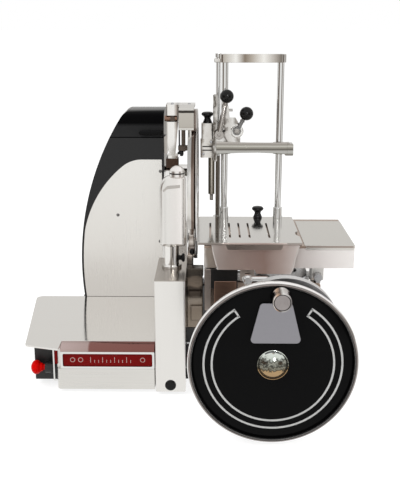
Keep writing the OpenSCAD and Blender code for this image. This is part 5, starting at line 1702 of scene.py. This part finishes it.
@dataclass
class Studio:
    """Floor, lights, background and the camera of the photograph."""

    camera_at: Vector = field(default_factory=lambda: Vector((0.0605, -1.698, 0.725)))
    pitch: float = 15.14
    yaw: float = 0.781
    lens: float = 61.2
    floor_half: float = 60.0
    paper_edge: tuple[float, float] = (1.5, 2.3)
    glossy: tuple[str, ...] = (
        "clamp_lever_ball", "lock_lever_ball", "clamp_lever_arm", "lock_lever_arm", "table_knob_finished",
        "clamp_knob_finished", "hub_cap_finished", "grip_barrel", "posts_finished", "lock_boss", "guard_post")

    def lamp(self, name: str, at: Vector, size: tuple[float, float], watts: float) -> bpy.types.Object:
        """Adds a soft box that faces the part and that no polished face mirrors.

        Args:
            name: The lamp's name.
            at: Its place.
            size: Its width and height.
            watts: Its power.

        Returns:
            The lamp.
        """
        aim = Vector((0.0, 0.0, 0.3))
        data = bpy.data.lights.new(name, "AREA")
        data.shape = "RECTANGLE"
        data.size, data.size_y = size
        data.energy = watts
        lamp = bpy.data.objects.new(name, data)
        lamp.location = at
        lamp.rotation_euler = (aim - at).to_track_quat("-Z", "Y").to_euler()
        lamp.visible_glossy = False
        bpy.context.scene.collection.objects.link(lamp)
        return lamp

    def glint(self) -> None:
        """A small box in front that gives only the glossy pieces their highlights."""
        lamp = self.lamp("glint", Vector((0.5, -1.75, 1.1)), (0.3, 0.45), 9.0)
        lamp.visible_glossy = True
        lamp.visible_diffuse = False
        glossy = bpy.data.collections.new("glossy pieces")
        for name in self.glossy:
            glossy.objects.link(bpy.data.objects[name])
        lamp.light_linking.receiver_collection = glossy

    @staticmethod
    def room_bands(graph: Graph, across: Wire, ahead: Wire) -> bpy.types.NodeSocket:
        """What metal mirrors at some distance: dark flags and bright windows round the compass.

        Args:
            graph: The graph that the nodes go in.
            across: Distance or direction to the right.
            ahead: Distance or direction to the front.

        Returns:
            The colour output.
        """
        compass = across.over(ahead) * (0.5 / math.pi) + 0.5
        warm = (0.20, 0.155, 0.13)
        grey = (0.36, 0.34, 0.32)
        dull = (0.55, 0.53, 0.50)
        bright = (0.98, 0.98, 0.97)
        return graph.bands(compass, [
            (0.00, dull), (0.08, grey), (0.14, bright), (0.22, bright), (0.28, grey), (0.31, warm),
            (0.37, warm), (0.40, grey), (0.43, bright), (0.57, bright), (0.60, grey), (0.62, warm),
            (0.66, warm), (0.69, bright), (0.75, bright), (0.79, grey), (0.83, warm), (0.88, bright),
            (0.93, grey), (1.00, dull)])

    @staticmethod
    def rays(graph: Graph) -> tuple[bpy.types.NodeSocket, Wire]:
        """One for rays from the camera, and one for rays that metal or glass sends on.

        Args:
            graph: The graph that the nodes go in.

        Returns:
            Both, the first as a socket.
        """
        path = graph.node("ShaderNodeLightPath")
        sent = Wire(graph, path.outputs["Is Glossy Ray"]) + Wire(graph, path.outputs["Is Transmission Ray"])
        return path.outputs["Is Camera Ray"], sent.above(0.5)

    def floor(self) -> None:
        """A white floor with a soft shadow. Metal mirrors white paper near the part, the room further out."""
        Bench.clear_selection()
        bpy.ops.mesh.primitive_plane_add(size=2 * self.floor_half)
        floor = bpy.context.active_object
        floor.name = "floor"
        paint = bpy.data.materials.new("studio floor")
        paint.use_nodes = True
        graph = Graph(paint.node_tree)
        camera, shiny = self.rays(graph)
        place = graph.node("ShaderNodeTexCoord").outputs["Object"]
        x, y, _ = graph.split(place)
        bands = self.room_bands(graph, x, 0.0 - y)
        mirrored = graph.mix_color(graph.length(place).ramp(*self.paper_edge), (0.99, 0.985, 0.97), bands)
        matt = graph.node("ShaderNodeBsdfDiffuse", None, {"Color": (0.9, 0.9, 0.9)})
        glow = graph.node("ShaderNodeEmission", None, {"Color": (1.0, 1.0, 1.0), "Strength": 1.35})
        room = graph.node("ShaderNodeEmission", None, {"Color": mirrored, "Strength": 1.0})
        seen = Wire(graph, camera) * 0.6
        lit = graph.node("ShaderNodeMixShader", None, {0: seen, 1: matt.outputs[0], 2: glow.outputs[0]})
        both = graph.node("ShaderNodeMixShader", None, {0: shiny, 1: lit.outputs[0], 2: room.outputs[0]})
        graph.node("ShaderNodeOutputMaterial", None, {"Surface": both.outputs[0]})
        floor.data.materials.append(paint)

    def world(self) -> None:
        """White for the camera, a banded studio for what metal mirrors, dim fill for the rest."""
        world = bpy.data.worlds.new("studio")
        world.use_nodes = True
        bpy.context.scene.world = world
        graph = Graph(world.node_tree)
        camera, shiny = self.rays(graph)
        x, y, z = graph.split(graph.node("ShaderNodeTexCoord").outputs["Generated"])
        ahead = graph.mix_color(z.ramp(0.12, 0.42), self.room_bands(graph, x, 0.0 - y), (1.0, 1.0, 1.0))
        behind = graph.mix_color(z.ramp(0.5, 0.9), (0.77, 0.76, 0.74), (1.0, 1.0, 1.0))
        mirrored = graph.mix_color(y.ramp(0.2, 0.75), ahead, behind)
        fill = graph.node("ShaderNodeBackground", None, {"Color": (1.0, 1.0, 1.0), "Strength": 0.6})
        room = graph.node("ShaderNodeBackground", None, {"Color": mirrored, "Strength": 1.0})
        white = graph.node("ShaderNodeBackground", None, {"Color": (1.0, 1.0, 1.0), "Strength": 1.0})
        inner = graph.node("ShaderNodeMixShader", None, {0: shiny, 1: fill.outputs[0], 2: room.outputs[0]})
        outer = graph.node("ShaderNodeMixShader", None, {0: camera, 1: inner.outputs[0], 2: white.outputs[0]})
        graph.node("ShaderNodeOutputWorld", None, {"Surface": outer.outputs[0]})

    def camera(self) -> None:
        """The photograph's viewpoint."""
        data = bpy.data.cameras.new("camera")
        data.lens = self.lens
        data.sensor_width = 36.0
        camera = bpy.data.objects.new("camera", data)
        camera.location = self.camera_at
        camera.rotation_euler = (math.radians(90.0 - self.pitch), 0.0, math.radians(self.yaw))
        bpy.context.scene.collection.objects.link(camera)
        bpy.context.scene.camera = camera

    def build(self) -> None:
        """Sets up the studio."""
        bpy.context.scene.view_settings.view_transform = "Standard"
        self.floor()
        self.world()
        self.lamp("key", Vector((-1.6, -1.5, 2.2)), (1.6, 1.2), 34.0)
        self.lamp("fill", Vector((2.0, -1.2, 1.4)), (1.4, 1.4), 16.0)
        self.lamp("back", Vector((0.4, 1.9, 2.0)), (2.0, 1.0), 22.0)
        self.glint()
        self.camera()


def main() -> None:
    """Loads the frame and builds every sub-assembly in order."""
    logging.basicConfig(level=logging.INFO, format="%(name)s: %(message)s")
    slicer = Slicer(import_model())
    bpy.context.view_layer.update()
    PlainNodes().build(slicer)
    SidePanel().build(slicer)
    WheelTrim().build(slicer)
    CrankGrip().build(slicer)
    BallLever("clamp_lever", spot(66.0, 54.5, 488.0), (10.0 * MM, 7.0 * MM), (6.2 * MM, 4.6 * MM),
              GREY_ARM).build(slicer)
    BallLever("lock_lever", spot(104.0, 58.0, 496.0), (9.0 * MM, 10.0 * MM), (4.5 * MM, 4.0 * MM),
              DARK_ARM).build(slicer)
    Fasteners().build(slicer)
    SharpenerParts().build(slicer)
    EdgeGuard().build(slicer)
    RingMount().build(slicer)
    TopStrap().build(slicer)
    Inlays().build(slicer)
    Studio().build()


if __name__ == "__main__":
    main()
